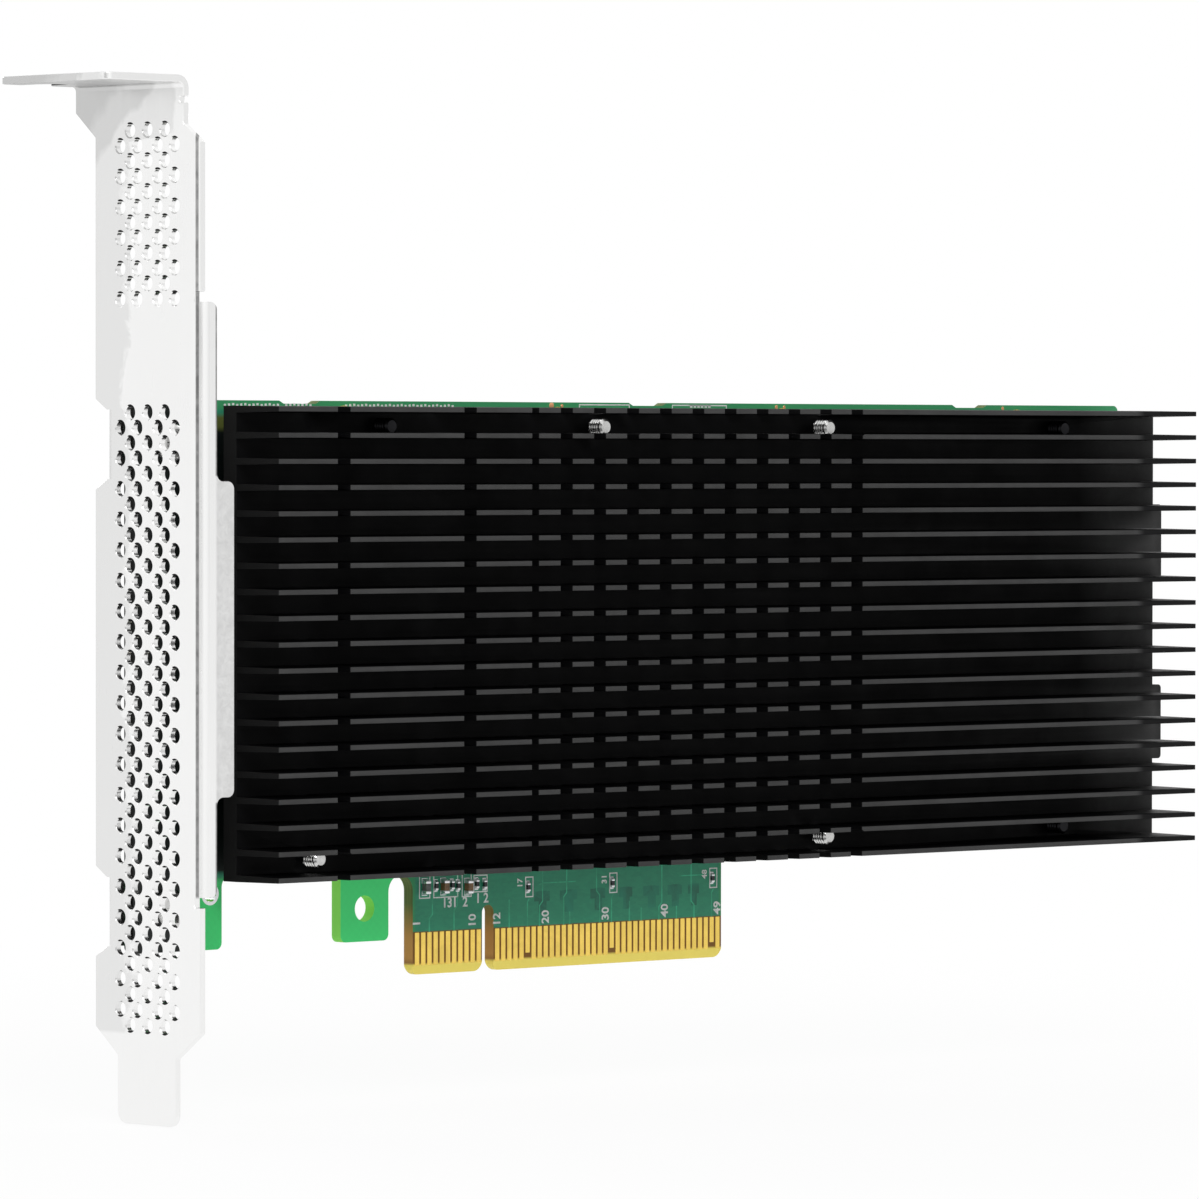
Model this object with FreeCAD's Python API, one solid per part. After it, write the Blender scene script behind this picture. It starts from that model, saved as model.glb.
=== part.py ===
import FreeCAD, Part
import math
import os

# Low-profile PCI Express x8 adapter card for two M.2 NVMe drives, on a full-height bracket.
# Frame: the origin is the card-edge datum, at the middle of the key notch on the bottom edge of the
# board, half way through the board. +X runs away from the bracket, +Z is up, components face -Y.
# All sizes are in millimetres.

V = FreeCAD.Vector

# Small round things, such as screws, spacers and vents, are prisms of a few sides.
small_round_sides = 6
vent_sides = 6

# ---- board -------------------------------------------------------------------------------------
board_thickness = 1.57
board_reach = 167.65            # bracket's inner face to the board's far end
board_left_gap = 1.3            # bracket's inner face to the board's near end
board_top = 68.15
board_body_bottom = 12.75       # lower edge of the body, above the contact edge
board_corner = 0.8
foot_width = 13.5               # foot of the board beside the bracket
foot_bottom = 4.3               # the foot and the hook tab both end here
hook_left = -23.65
hook_right = -16.05
hook_hole_radius = 1.55
hook_hole_height = 8.2
hook_slot_top = 11.95
fillet_radius = 1.2
break_tab_count = 3
break_tab_first = -30.1
break_tab_pitch = 56.6
break_tab_width = 6.4
break_tab_depth = 0.36
break_tab_ramp = 0.7
foot_hole_from_right = 1.8
foot_hole_height = 10.8
foot_hole_radius = 1.0

# ---- edge connector ----------------------------------------------------------------------------
finger_pitch = 1.0
finger_width = 0.7
finger_top = 5.0
bevel_height = 1.1
bevel_inset = 0.4
finger_thickness = 0.04
fingers_before_key = 11
fingers_after_key = 38
key_width = 1.9
key_top = 7.9
key_to_finger = 1.5             # middle of the key to the middle of the finger beside it
tongue_margin = 0.65            # middle of an end finger to the end of its tongue
tongue_corner = 1.0
short_finger_cut = 0.8
presence_finger_numbers = (17, 31, 48)

# ---- bracket -----------------------------------------------------------------------------------
bracket_to_key = 57.85          # bracket's outer face to the middle of the key
sheet = 0.86
bracket_height = 120.02
bracket_tip_below_edge = 15.0
bracket_width = 18.42
bracket_middle = -5.85          # middle of the main face, seen from the board's mid plane
head_width = 19.05
head_shift = 3.2                # the head stands this much further to the solder side
head_far_height = 3.87          # the head's straight side, below the bracket's top
head_near_height = 5.62
shoulder_height = 2.9
tab_depth = 11.43
tab_corner = 1.0
tab_bend_radius = 0.6
notch_width = 4.42
notch_depth = 4.9
notch_from_face = 5.9
head_relief_height = 0.7
head_relief_depth = 0.7
head_relief_below_top = 3.12    # bracket's top to the relief's lower edge
taper_top = -4.1
taper_bottom = -7.2
tongue_width = 10.19
tongue_shift = 0.2
tongue_tip_radius = 1.4
flange_top = 79.2
flange_bottom = 11.4
flange_depth = 2.62
flange_outer_radius = 1.5
wing_top = 58.8
wing_bottom = 22.75
wing_depth = 5.2
wing_corner = 0.9
relief_height = 1.15
relief_depth = 0.95
ear_height = 8.0
ear_low = 5.2
ear_high = 59.0
ear_length = 11.5
ear_outer_radius = 1.26
ear_notch_ramp = 1.2
ear_notch_depth = 1.95
vent_radius = 0.81
vent_row_pitch = 1.757
vent_upper_row_count = 12
vent_lower_row_count = 41
vent_upper_below_top = 6.07     # bracket's top to the first row
vent_lower_top = 66.65          # first row of the lower field, above the contact edge
vent_three_pitch = 3.05
vent_four_inner = 1.79
vent_four_outer = 4.78

# ---- heat sink ---------------------------------------------------------------------------------
sink_left = -45.55
sink_length = 156.0
sink_bottom = 12.5
sink_gap = 4.2                  # board's component face to the back of the base
sink_base = 2.2
fin_count = 19
fin_pitch = 3.01
fin_height = 7.5
fin_tip = 0.6
fin_root = 0.8
cut_width = 1.95
cut_series_first = -0.15
cut_series_pitch = 5.44
cut_series_count = 10
cut_left_places = (-35.5, -15.65)
narrow_cut_place = -5.2
narrow_cut_width = 1.1
lug_length = 1.6
lug_height = 9.5
lug_corner = 0.5

# ---- heat sink fixings -------------------------------------------------------------------------
sink_screw_radius = 1.0
sink_screw_clearance = 0.05
sink_screw_tip = 2.1            # the screw's end stands this far out of the base
sink_screw_off_centre = 0.42    # each row sits this much nearer the card's middle than its channel does
sink_screw_head_radius = 1.9
sink_screw_head_height = 1.2
upper_screw_places = (-23.2, 11.4, 49.6, 91.7)
lower_screw_places = (-34.3, 49.6, 91.7)
spacer_radius = 1.6
spacer_bore = 1.1

# ---- bracket fixings ---------------------------------------------------------------------------
bracket_screw_from_face = 7.5
bracket_screw_radius = 1.25
bracket_screw_head_radius = 2.4
bracket_screw_head_height = 1.5
bracket_screw_tip = 0.5

# ---- drive sockets and their fixings -----------------------------------------------------------
drive_rows = {"upper": 50.75, "lower": 27.6}
socket_depth = 8.7
socket_width = 21.9
socket_height = 3.2
socket_slot_width = 19.9
socket_slot_height = 1.0
socket_slot_middle = 1.65       # above the board's face
socket_slot_depth = 4.4
socket_key_width = 1.2
socket_key_shift = 6.1
socket_chamfer = 0.5
socket_peg_radius = 0.55
socket_peg_spacing = 18.0
socket_peg_length = 1.2
drive_seat = 3.2                # drive's edge stops this far inside the socket's mouth
drive_short_length = 80.0
drive_long_length = 110.0
drive_end_margin = 5.76         # long drive's end to the board's far end
drive_post_height = 1.25
drive_post_radius = 2.5
drive_post_stem_radius = 1.6
drive_screw_radius = 0.95
drive_screw_head_radius = 2.1
drive_screw_head_height = 0.9
drive_screw_length = 2.0
pad_thickness = 0.7
pad_width = 18.0
pad_start = 3.0                 # behind the socket's mouth
pad_length = 98.0

# ---- power and logic parts ---------------------------------------------------------------------
inductor_size = 6.6
inductor_height = 3.0
inductor_chamfer = 0.9
regulator_size = 5.0
clock_size = 6.0
flat_chip_height = 0.85
supply_heights = (31.0, 47.0)
inductor_gap_share = 0.071      # gaps as shares of the strip between the board's end and the sockets
regulator_gap_share = 0.063
bulk_gap_share = 0.141
clock_gap_share = 0.098
memory_gap_share = 0.146
bulk_length = 7.3
bulk_width = 4.3
bulk_height = 1.9
clock_z = 39.0
memory_z = 61.5
memory_length = 4.9
memory_width = 3.9
memory_height = 1.5
memory_lead = 0.4
chip_standoff = 0.1
coupling_pitch = 1.9
coupling_count = 16
coupling_first = 6.0
coupling_height = 13.9

small_part = {"0603": (0.8, 1.6, 0.8), "0402": (0.5, 1.0, 0.35)}
edge_capacitors = ((-10.3, 10.4), (-7.3, 10.35), (-3.45, 10.2))
edge_resistors = ((-8.5, 10.5), (-5.9, 10.5), (-4.95, 10.4), (-1.9, 10.5), (-0.6, 10.4))
presence_resistor_height = 9.8

# ---- places worked out from the sizes ----------------------------------------------------------
y_front = -board_thickness / 2
y_back = board_thickness / 2
bracket_x = -bracket_to_key
bracket_inner = bracket_x + sheet
board_left = bracket_inner + board_left_gap
board_right = bracket_inner + board_reach
foot_right = board_left + foot_width
tongue_left = -key_to_finger - (fingers_before_key - 1) * finger_pitch - tongue_margin
tongue_right = key_to_finger + (fingers_after_key - 1) * finger_pitch + tongue_margin
bracket_tip = -bracket_tip_below_edge
bracket_top = bracket_tip + bracket_height
near_edge = bracket_middle - bracket_width / 2
far_edge = bracket_middle + bracket_width / 2
head_near = bracket_middle + head_shift - head_width / 2
head_far = bracket_middle + head_shift + head_width / 2
head_far_bottom = bracket_top - head_far_height
head_near_bottom = bracket_top - head_near_height
head_relief_bottom = bracket_top - head_relief_below_top
vent_upper_top = bracket_top - vent_upper_below_top
base_back = y_front - sink_gap
base_front = base_back - sink_base
fin_front = base_front - fin_height
sink_right = sink_left + sink_length
sink_top = sink_bottom + fin_root + (fin_count - 1) * fin_pitch
first_channel = sink_bottom + fin_root / 2 + fin_pitch / 2
last_channel = sink_top - fin_root / 2 - fin_pitch / 2
sink_screws = [(x, last_channel - sink_screw_off_centre) for x in upper_screw_places]
sink_screws += [(x, first_channel + sink_screw_off_centre) for x in lower_screw_places]
bracket_screw_x = bracket_x + bracket_screw_from_face
ear_middles = (ear_low + ear_height / 2, ear_high + ear_height / 2)
drive_datum = board_right - drive_end_margin - drive_long_length
socket_mouth = drive_datum + drive_seat
socket_left = socket_mouth - socket_depth
pad_left = socket_mouth + pad_start
drive_posts = [(drive_datum + length, z) for z in drive_rows.values()
               for length in (drive_short_length, drive_long_length)]
supply_strip = socket_left - board_left
bulk_x = socket_left - supply_strip * bulk_gap_share - bulk_width / 2
regulator_x = bulk_x - bulk_width / 2 - supply_strip * regulator_gap_share - regulator_size / 2
inductor_x = regulator_x - regulator_size / 2 - supply_strip * inductor_gap_share - inductor_size / 2
clock_x = socket_left - supply_strip * clock_gap_share - clock_size / 2
memory_x = clock_x - clock_size / 2 - supply_strip * memory_gap_share - memory_length / 2


# ---- helpers -----------------------------------------------------------------------------------
def block(x0, x1, y0, y1, z0, z1):
    return Part.makeBox(x1 - x0, y1 - y0, z1 - z0, V(x0, y0, z0))


def few_sided(radius, sides):
    """Corner offsets of a regular polygon that stands for a circle, with flats square to the axes."""
    corner = radius / math.cos(math.pi / sides / 2)
    angles = [(k + 0.5) * 2 * math.pi / sides for k in range(sides)]
    return [(corner * math.cos(a), corner * math.sin(a)) for a in angles]


def rod(x, z, radius, y0, y1):
    """A small round bar or drill along Y."""
    points = [(x + u, y0, z + w) for u, w in few_sided(radius, small_round_sides)]
    return polygon_face(points).extrude(V(0, y1 - y0, 0))


def tube(x, z, outer, inner, y0, y1):
    return rod(x, z, outer, y0, y1).cut(rod(x, z, inner, y0, y1))


def polygon_face(points):
    return Part.Face(Part.makePolygon([V(*p) for p in points] + [V(*points[0])]))


def joined(shapes):
    body = shapes[0].fuse(list(shapes[1:])) if len(shapes) > 1 else shapes[0]
    return body.removeSplitter()


def rounded(solid, radius, wanted):
    """Fillet the edges for which wanted(edge) is true."""
    edges = [e for e in solid.Edges if wanted(e)]
    return solid.makeFillet(radius, edges) if edges else solid


def along(edge, axis):
    """True for a straight edge that runs along the axis ("x", "y" or "z")."""
    if not isinstance(edge.Curve, Part.Line):
        return False
    run = edge.Vertexes[-1].Point.sub(edge.Vertexes[0].Point)
    return abs(abs(getattr(run, axis)) - run.Length) < 1e-6


def near(value, target):
    return abs(value - target) < 0.01


def quarter_bend(centre, inner, outer, u, v, sweep):
    """A quarter of a ring from direction u to direction v, swept along a vector."""
    middle = (u + v).normalize()
    outer_arc = Part.Arc(centre + u * outer, centre + middle * outer, centre + v * outer).toShape()
    inner_arc = Part.Arc(centre + v * inner, centre + middle * inner, centre + u * inner).toShape()
    side_v = Part.makeLine(centre + v * outer, centre + v * inner)
    side_u = Part.makeLine(centre + u * inner, centre + u * outer)
    return Part.Face(Part.Wire([outer_arc, side_v, inner_arc, side_u])).extrude(sweep)


def save(name, solids):
    shape = solids[0] if len(solids) == 1 else Part.makeCompound(solids)
    if not shape.isValid():
        raise ValueError(name + " is not valid")
    shape.exportStep(os.path.join("parts", name + ".step"))


# ---- bracket -----------------------------------------------------------------------------------
def bracket_face_plate():
    tongue_near = bracket_middle + tongue_shift - tongue_width / 2
    tongue_far = tongue_near + tongue_width
    plate_top = bracket_top - sheet - tab_bend_radius
    outline = [
        (head_near, plate_top), (head_far, plate_top), (head_far, head_far_bottom),
        (far_edge, head_far_bottom - shoulder_height), (far_edge, taper_top),
        (tongue_far, taper_bottom), (tongue_far, bracket_tip), (tongue_near, bracket_tip),
        (tongue_near, taper_bottom), (near_edge, taper_top),
        (near_edge, head_near_bottom - shoulder_height * 0.7), (head_near, head_near_bottom),
    ]
    plate = polygon_face([(bracket_x, y, z) for y, z in outline]).extrude(V(sheet, 0, 0))
    return rounded(plate, tongue_tip_radius,
                   lambda e: along(e, "x") and near(e.CenterOfMass.z, bracket_tip))


def vent_places():
    """Rows of three and four holes by turns, in two fields."""
    three = (-vent_three_pitch, 0, vent_three_pitch)
    four = (-vent_four_outer, -vent_four_inner, vent_four_inner, vent_four_outer)
    for top, rows in ((vent_upper_top, vent_upper_row_count), (vent_lower_top, vent_lower_row_count)):
        for row in range(rows):
            for offset in (four if row % 2 else three):
                yield bracket_middle + offset, top - row * vent_row_pitch


def vent_cutters():
    cutters = []
    for y, z in vent_places():
        points = [(bracket_x - 1, y + u, z + w) for u, w in few_sided(vent_radius, vent_sides)]
        cutters.append(polygon_face(points).extrude(V(sheet + 2, 0, 0)))
    return cutters


def ear_relief(low):
    """The notch in the far edge that one board ear is folded out of."""
    inner = y_back + sheet - ear_outer_radius
    step = far_edge - ear_notch_depth
    high = low + ear_height
    outline = [
        (inner, low), (step, low), (far_edge, low - ear_notch_ramp), (far_edge + 1, low - ear_notch_ramp),
        (far_edge + 1, high + ear_notch_ramp), (far_edge, high + ear_notch_ramp), (step, high), (inner, high),
    ]
    return polygon_face([(bracket_x - 1, y, z) for y, z in outline]).extrude(V(sheet + 2, 0, 0))


def board_ear(low):
    """An ear folded back along the solder side of the board, tapped for one screw."""
    centre = V(bracket_x + ear_outer_radius, y_back + sheet - ear_outer_radius, low)
    bend = quarter_bend(centre, ear_outer_radius - sheet, ear_outer_radius, V(-1, 0, 0), V(0, 1, 0),
                        V(0, 0, ear_height))
    flat = block(centre.x, bracket_x + ear_length, y_back, y_back + sheet, low, low + ear_height)
    flat = rounded(flat, 1.5, lambda e: along(e, "y") and near(e.CenterOfMass.x, bracket_x + ear_length))
    hole = rod(bracket_screw_x, low + ear_height / 2, bracket_screw_radius + 0.05, y_back - 1, y_back + sheet + 1)
    return [bend, flat.cut(hole)]


def near_flange():
    """The stiffening flange on the component side, with its wider wing."""
    centre = V(bracket_x + flange_outer_radius, near_edge + flange_outer_radius, flange_bottom)
    bend = quarter_bend(centre, flange_outer_radius - sheet, flange_outer_radius, V(-1, 0, 0), V(0, -1, 0),
                        V(0, 0, flange_top - flange_bottom))
    start, edge, wing = centre.x, bracket_x + flange_depth, bracket_x + wing_depth
    outline = [
        (start, flange_bottom), (edge, flange_bottom), (edge, wing_bottom), (wing, wing_bottom),
        (wing, wing_top), (edge, wing_top), (edge, flange_top), (start, flange_top),
    ]
    flat = polygon_face([(x, near_edge, z) for x, z in outline]).extrude(V(0, sheet, 0))
    flat = rounded(flat, wing_corner, lambda e: along(e, "y") and e.CenterOfMass.x > edge - 0.01)
    return [bend, flat]


def flange_relief():
    """What the face plate loses at its near edge for the flange's bend and its end reliefs."""
    bend_zone = block(bracket_x - 1, bracket_inner + 1, near_edge - 1, near_edge + flange_outer_radius,
                      flange_bottom, flange_top)
    ends = [block(bracket_x - 1, bracket_inner + 1, near_edge - 1, near_edge + relief_depth, z, z + relief_height)
            for z in (flange_top, flange_bottom - relief_height)]
    return [bend_zone] + ends


def top_tab():
    """The tab that is screwed to the chassis, with its notch open to the solder side."""
    centre = V(bracket_x - tab_bend_radius, head_near, bracket_top - sheet - tab_bend_radius)
    bend = quarter_bend(centre, tab_bend_radius, tab_bend_radius + sheet, V(1, 0, 0), V(0, 0, 1),
                        V(0, head_width, 0))
    under = bracket_top - sheet
    flat = block(bracket_x - tab_depth, centre.x, head_near, head_far, under, bracket_top)
    flat = rounded(flat, tab_corner, lambda e: along(e, "z") and near(e.CenterOfMass.x, bracket_x - tab_depth))
    notch_x = bracket_x - notch_from_face
    radius = notch_width / 2
    end = Part.makeCylinder(radius, sheet + 2, V(notch_x, head_far - notch_depth + radius, under - 1))
    slot = block(notch_x - radius, notch_x + radius, head_far - notch_depth + radius, head_far + 1,
                 under - 1, bracket_top + 1)
    return [bend, flat.cut(end.fuse(slot))]


def make_bracket():
    relief = block(bracket_x - 1, bracket_inner + 1, head_near - 1, head_near + head_relief_depth,
                   head_relief_bottom, head_relief_bottom + head_relief_height)
    plate = bracket_face_plate().cut([relief, ear_relief(ear_low), ear_relief(ear_high)] + flange_relief())
    pieces = [plate] + near_flange() + board_ear(ear_low) + board_ear(ear_high) + top_tab()
    return joined(pieces).cut(vent_cutters())


# ---- board -------------------------------------------------------------------------------------
def board_outline():
    """The board's outline, clockwise from its top left corner, without the top break-off dips."""
    half_key = key_width / 2
    return [
        (board_left, board_top), (board_right, board_top), (board_right, board_body_bottom),
        (tongue_right, board_body_bottom), (tongue_right, 0), (half_key, 0), (half_key, key_top),
        (-half_key, key_top), (-half_key, 0), (tongue_left, 0),
        (tongue_left, hook_slot_top), (hook_right, hook_slot_top), (hook_right, foot_bottom),
        (hook_left, foot_bottom), (hook_left, board_body_bottom), (foot_right, board_body_bottom),
        (foot_right, foot_bottom), (board_left, foot_bottom),
    ]


def break_tab_dip(middle):
    """A shallow dip with ramped ends, left in the top edge where the board broke from its panel."""
    half = break_tab_width / 2
    floor = board_top - break_tab_depth
    outline = [
        (middle - half, board_top), (middle - half + break_tab_ramp, floor),
        (middle + half - break_tab_ramp, floor), (middle + half, board_top),
        (middle + half, board_top + 1), (middle - half, board_top + 1),
    ]
    return polygon_face([(x, y_front - 1, z) for x, z in outline]).extrude(V(0, board_thickness + 2, 0))


def edge_bevel(side):
    """The wedge taken off one face along the contact edge; side is -1 for the component face."""
    face = side * board_thickness / 2
    outline = [(0, face + side, -0.5), (0, face + side, bevel_height), (0, face, bevel_height),
               (0, face - side * bevel_inset, 0), (0, face - side * bevel_inset, -0.5)]
    wedge = polygon_face(outline).extrude(V(tongue_right - tongue_left + 2, 0, 0))
    wedge.translate(V(tongue_left - 1, 0, 0))
    return wedge


def board_blank():
    board = polygon_face([(x, y_front, z) for x, z in board_outline()]).extrude(V(0, board_thickness, 0))

    def at(edge, x, z):
        return along(edge, "y") and near(edge.CenterOfMass.x, x) and near(edge.CenterOfMass.z, z)

    slot_radius = (tongue_left - hook_right) / 2 - 0.01
    board = rounded(board, slot_radius, lambda e: at(e, tongue_left, hook_slot_top) or at(e, hook_right, hook_slot_top))
    board = rounded(board, key_width / 2 - 0.01, lambda e: at(e, key_width / 2, key_top) or at(e, -key_width / 2, key_top))
    inner = [(tongue_right, board_body_bottom), (hook_left, board_body_bottom), (foot_right, board_body_bottom)]
    board = rounded(board, fillet_radius, lambda e: any(at(e, x, z) for x, z in inner))
    outer = [(board_left, board_top), (board_right, board_top), (board_right, board_body_bottom),
             (hook_left, foot_bottom), (hook_right, foot_bottom), (foot_right, foot_bottom), (board_left, foot_bottom)]
    board = rounded(board, board_corner, lambda e: any(at(e, x, z) for x, z in outer))
    tongue_ends = [e for e in board.Edges if along(e, "y") and near(e.CenterOfMass.z, 0)]
    return board.makeFillet(tongue_corner, tongue_ends)


def make_board():
    dips = [break_tab_dip(break_tab_first + k * break_tab_pitch) for k in range(break_tab_count)]
    through = (y_front - 1, y_back + 1)
    holes = [rod(x, z, spacer_bore, *through) for x, z in sink_screws]
    holes += [rod(bracket_screw_x, z, bracket_screw_radius + 0.15, *through) for z in ear_middles]
    holes += [rod(x, z, drive_post_stem_radius, *through) for x, z in drive_posts]
    hook_hole = V((hook_left + hook_right) / 2, y_front - 1, hook_hole_height)
    holes.append(Part.makeCylinder(hook_hole_radius, board_thickness + 2, hook_hole, V(0, 1, 0)))
    holes.append(rod(foot_right - foot_hole_from_right, foot_hole_height, foot_hole_radius, *through))
    holes += [rod(x, z, socket_peg_radius, *through) for x, z in socket_pegs()]
    return board_blank().cut(dips + [edge_bevel(-1), edge_bevel(1)] + holes)


def socket_pegs():
    middle = socket_left + socket_depth / 2
    return [(middle, z + side * socket_peg_spacing / 2) for z in drive_rows.values() for side in (-1, 1)]


def finger_places():
    """The number and the middle of each finger, counted from the bracket."""
    for k in range(fingers_before_key):
        yield k + 1, -key_to_finger - (fingers_before_key - 1 - k) * finger_pitch
    for k in range(fingers_after_key):
        yield fingers_before_key + k + 1, key_to_finger + k * finger_pitch


def make_fingers(y0, y1):
    fingers = []
    for number, x in finger_places():
        bottom = bevel_height + (short_finger_cut if number in presence_finger_numbers else 0)
        fingers.append(block(x - finger_width / 2, x + finger_width / 2, y0, y1, bottom, finger_top))
    return fingers


# ---- heat sink ---------------------------------------------------------------------------------
def comb_profile():
    """The extruded section: a flat base with tapered fins."""
    points = [(base_back, sink_bottom)]
    for k in range(fin_count):
        middle = sink_bottom + fin_root / 2 + k * fin_pitch
        points += [
            (base_front, middle - fin_root / 2), (fin_front, middle - fin_tip / 2),
            (fin_front, middle + fin_tip / 2), (base_front, middle + fin_root / 2),
        ]
    points.append((base_back, sink_top))
    return polygon_face([(sink_left, y, z) for y, z in points])


def cross_cuts():
    cuts = [(cut_series_first + k * cut_series_pitch, cut_width) for k in range(cut_series_count)]
    cuts += [(x, cut_width) for x in cut_left_places]
    cuts.append((narrow_cut_place, narrow_cut_width))
    return [block(x - width / 2, x + width / 2, fin_front - 1, base_front, sink_bottom - 1, sink_top + 1)
            for x, width in cuts]


def end_lug(z):
    """The base runs on a little at the end of each drive row."""
    lug = block(sink_right, sink_right + lug_length, base_front, base_back, z - lug_height / 2, z + lug_height / 2)
    return rounded(lug, lug_corner, lambda e: along(e, "y") and near(e.CenterOfMass.x, sink_right + lug_length))


def make_heat_sink():
    comb = comb_profile().extrude(V(sink_length, 0, 0)).cut(cross_cuts())
    sink = joined([comb] + [end_lug(z) for z in drive_rows.values()])
    bore = sink_screw_radius + sink_screw_clearance
    return sink.cut([rod(x, z, bore, base_front - fin_height - 1, base_back + 1) for x, z in sink_screws])


def screw(x, z, radius, head_radius, head_height, seat, tip):
    """A flat-topped screw along Y: the head sits outside seat, the shank runs from there to tip."""
    top = seat + (head_height if seat > tip else -head_height)
    shank = rod(x, z, radius, min(seat, tip), max(seat, tip))
    head = rod(x, z, head_radius, min(seat, top), max(seat, top))
    return joined([head, shank])


def make_sink_screws():
    return [screw(x, z, sink_screw_radius, sink_screw_head_radius, sink_screw_head_height,
                  y_back, base_front - sink_screw_tip) for x, z in sink_screws]


def make_spacers():
    return [tube(x, z, spacer_radius, spacer_bore, base_back, y_front) for x, z in sink_screws]


def make_bracket_screws():
    tip = y_back + sheet + bracket_screw_tip
    return [screw(bracket_screw_x, z, bracket_screw_radius, bracket_screw_head_radius,
                  bracket_screw_head_height, y_front, tip) for z in ear_middles]


# ---- drive sockets -----------------------------------------------------------------------------
def make_socket(z):
    """A keyed M.2 socket whose mouth opens away from the bracket."""
    top = y_front - socket_height
    body = block(socket_left, socket_mouth, top, y_front, z - socket_width / 2, z + socket_width / 2)
    body = body.makeChamfer(socket_chamfer, [e for e in body.Edges if along(e, "z") and near(e.CenterOfMass.y, top)])
    middle = y_front - socket_slot_middle
    slot = block(socket_mouth - socket_slot_depth, socket_mouth + 1, middle - socket_slot_height / 2,
                 middle + socket_slot_height / 2, z - socket_slot_width / 2, z + socket_slot_width / 2)
    key = block(socket_mouth - socket_slot_depth, socket_mouth, middle - socket_slot_height / 2,
                middle + socket_slot_height / 2, z + socket_key_shift - socket_key_width / 2,
                z + socket_key_shift + socket_key_width / 2)
    pegs = [rod(x, peg_z, socket_peg_radius, y_front, y_front + socket_peg_length)
            for x, peg_z in socket_pegs() if abs(peg_z - z) < socket_width / 2]
    return joined([body.cut(slot.cut(key))] + pegs)


def make_drive_posts():
    posts = []
    for x, z in drive_posts:
        collar = rod(x, z, drive_post_radius, y_front - drive_post_height, y_front)
        stem = rod(x, z, drive_post_stem_radius, y_front, y_back)
        bore = rod(x, z, drive_screw_radius + 0.05, y_front - drive_post_height - 1, y_back + 1)
        posts.append(joined([collar, stem]).cut(bore))
    return posts


def make_drive_screws():
    seat = y_front - drive_post_height
    return [screw(x, z, drive_screw_radius, drive_screw_head_radius, drive_screw_head_height,
                  seat, seat + drive_screw_length) for x, z in drive_posts]


def make_pad(z):
    return block(pad_left, pad_left + pad_length, base_back, base_back + pad_thickness,
                 z - pad_width / 2, z + pad_width / 2)


# ---- power and logic parts ---------------------------------------------------------------------
def flat_part(x, z, width, height, thickness, lift=0.0):
    """A rectangular body on the component face; width is along X and height along Z."""
    return block(x - width / 2, x + width / 2, y_front - lift - thickness, y_front - lift,
                 z - height / 2, z + height / 2)


def make_inductors():
    bodies = []
    for z in supply_heights:
        body = flat_part(inductor_x, z, inductor_size, inductor_size, inductor_height)
        bodies.append(body.makeChamfer(inductor_chamfer, [e for e in body.Edges if along(e, "y")]))
    return bodies


def make_regulators():
    return [flat_part(regulator_x, z, regulator_size, regulator_size, flat_chip_height)
            for z in supply_heights]


def make_bulk_capacitors():
    return [flat_part(bulk_x, z, bulk_width, bulk_length, bulk_height)
            for z in supply_heights]


def make_memory():
    """A small-outline chip whose eight leads are folded down onto the board."""
    body = flat_part(memory_x, memory_z, memory_length, memory_width, memory_height - chip_standoff, chip_standoff)
    leads = []
    for k in range(4):
        x = memory_x + (k - 1.5) * 1.27
        for side in (-1, 1):
            z = memory_z + side * (memory_width / 2 + 0.5)
            leads.append(flat_part(x, z, memory_lead, 1.0, 0.3))
    return [body] + leads


def make_capacitors():
    large = [flat_part(x, z, *small_part["0603"]) for x, z in edge_capacitors]
    rows = [flat_part(coupling_first + k * coupling_pitch, coupling_height, *small_part["0402"])
            for k in range(coupling_count)]
    return large + rows


def make_resistors():
    chips = [flat_part(x, z, *small_part["0402"]) for x, z in edge_resistors]
    places = dict(finger_places())
    chips += [flat_part(places[number], presence_resistor_height, *small_part["0402"])
              for number in presence_finger_numbers]
    return chips


def main():
    os.makedirs("parts", exist_ok=True)
    save("bracket", [make_bracket()])
    save("circuit_board", [make_board()])
    save("front_contacts", make_fingers(y_front - finger_thickness, y_front))
    save("back_contacts", make_fingers(y_back, y_back + finger_thickness))
    save("heat_sink", [make_heat_sink()])
    save("heat_sink_screws", make_sink_screws())
    save("heat_sink_spacers", make_spacers())
    save("bracket_screws", make_bracket_screws())
    for row, z in drive_rows.items():
        save(row + "_drive_socket", [make_socket(z)])
        save(row + "_thermal_pad", [make_pad(z)])
    save("drive_posts", make_drive_posts())
    save("drive_screws", make_drive_screws())
    save("power_inductors", make_inductors())
    save("voltage_regulators", make_regulators())
    save("bulk_capacitors", make_bulk_capacitors())
    save("clock_buffer", [flat_part(clock_x, clock_z, clock_size, clock_size, flat_chip_height)])
    save("memory_chip", make_memory())
    save("ceramic_capacitors", make_capacitors())
    save("resistors", make_resistors())


main()
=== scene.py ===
"""Looks of the NVMe adapter card: bracket, board, heat sink, contacts and the small parts between them."""

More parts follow.
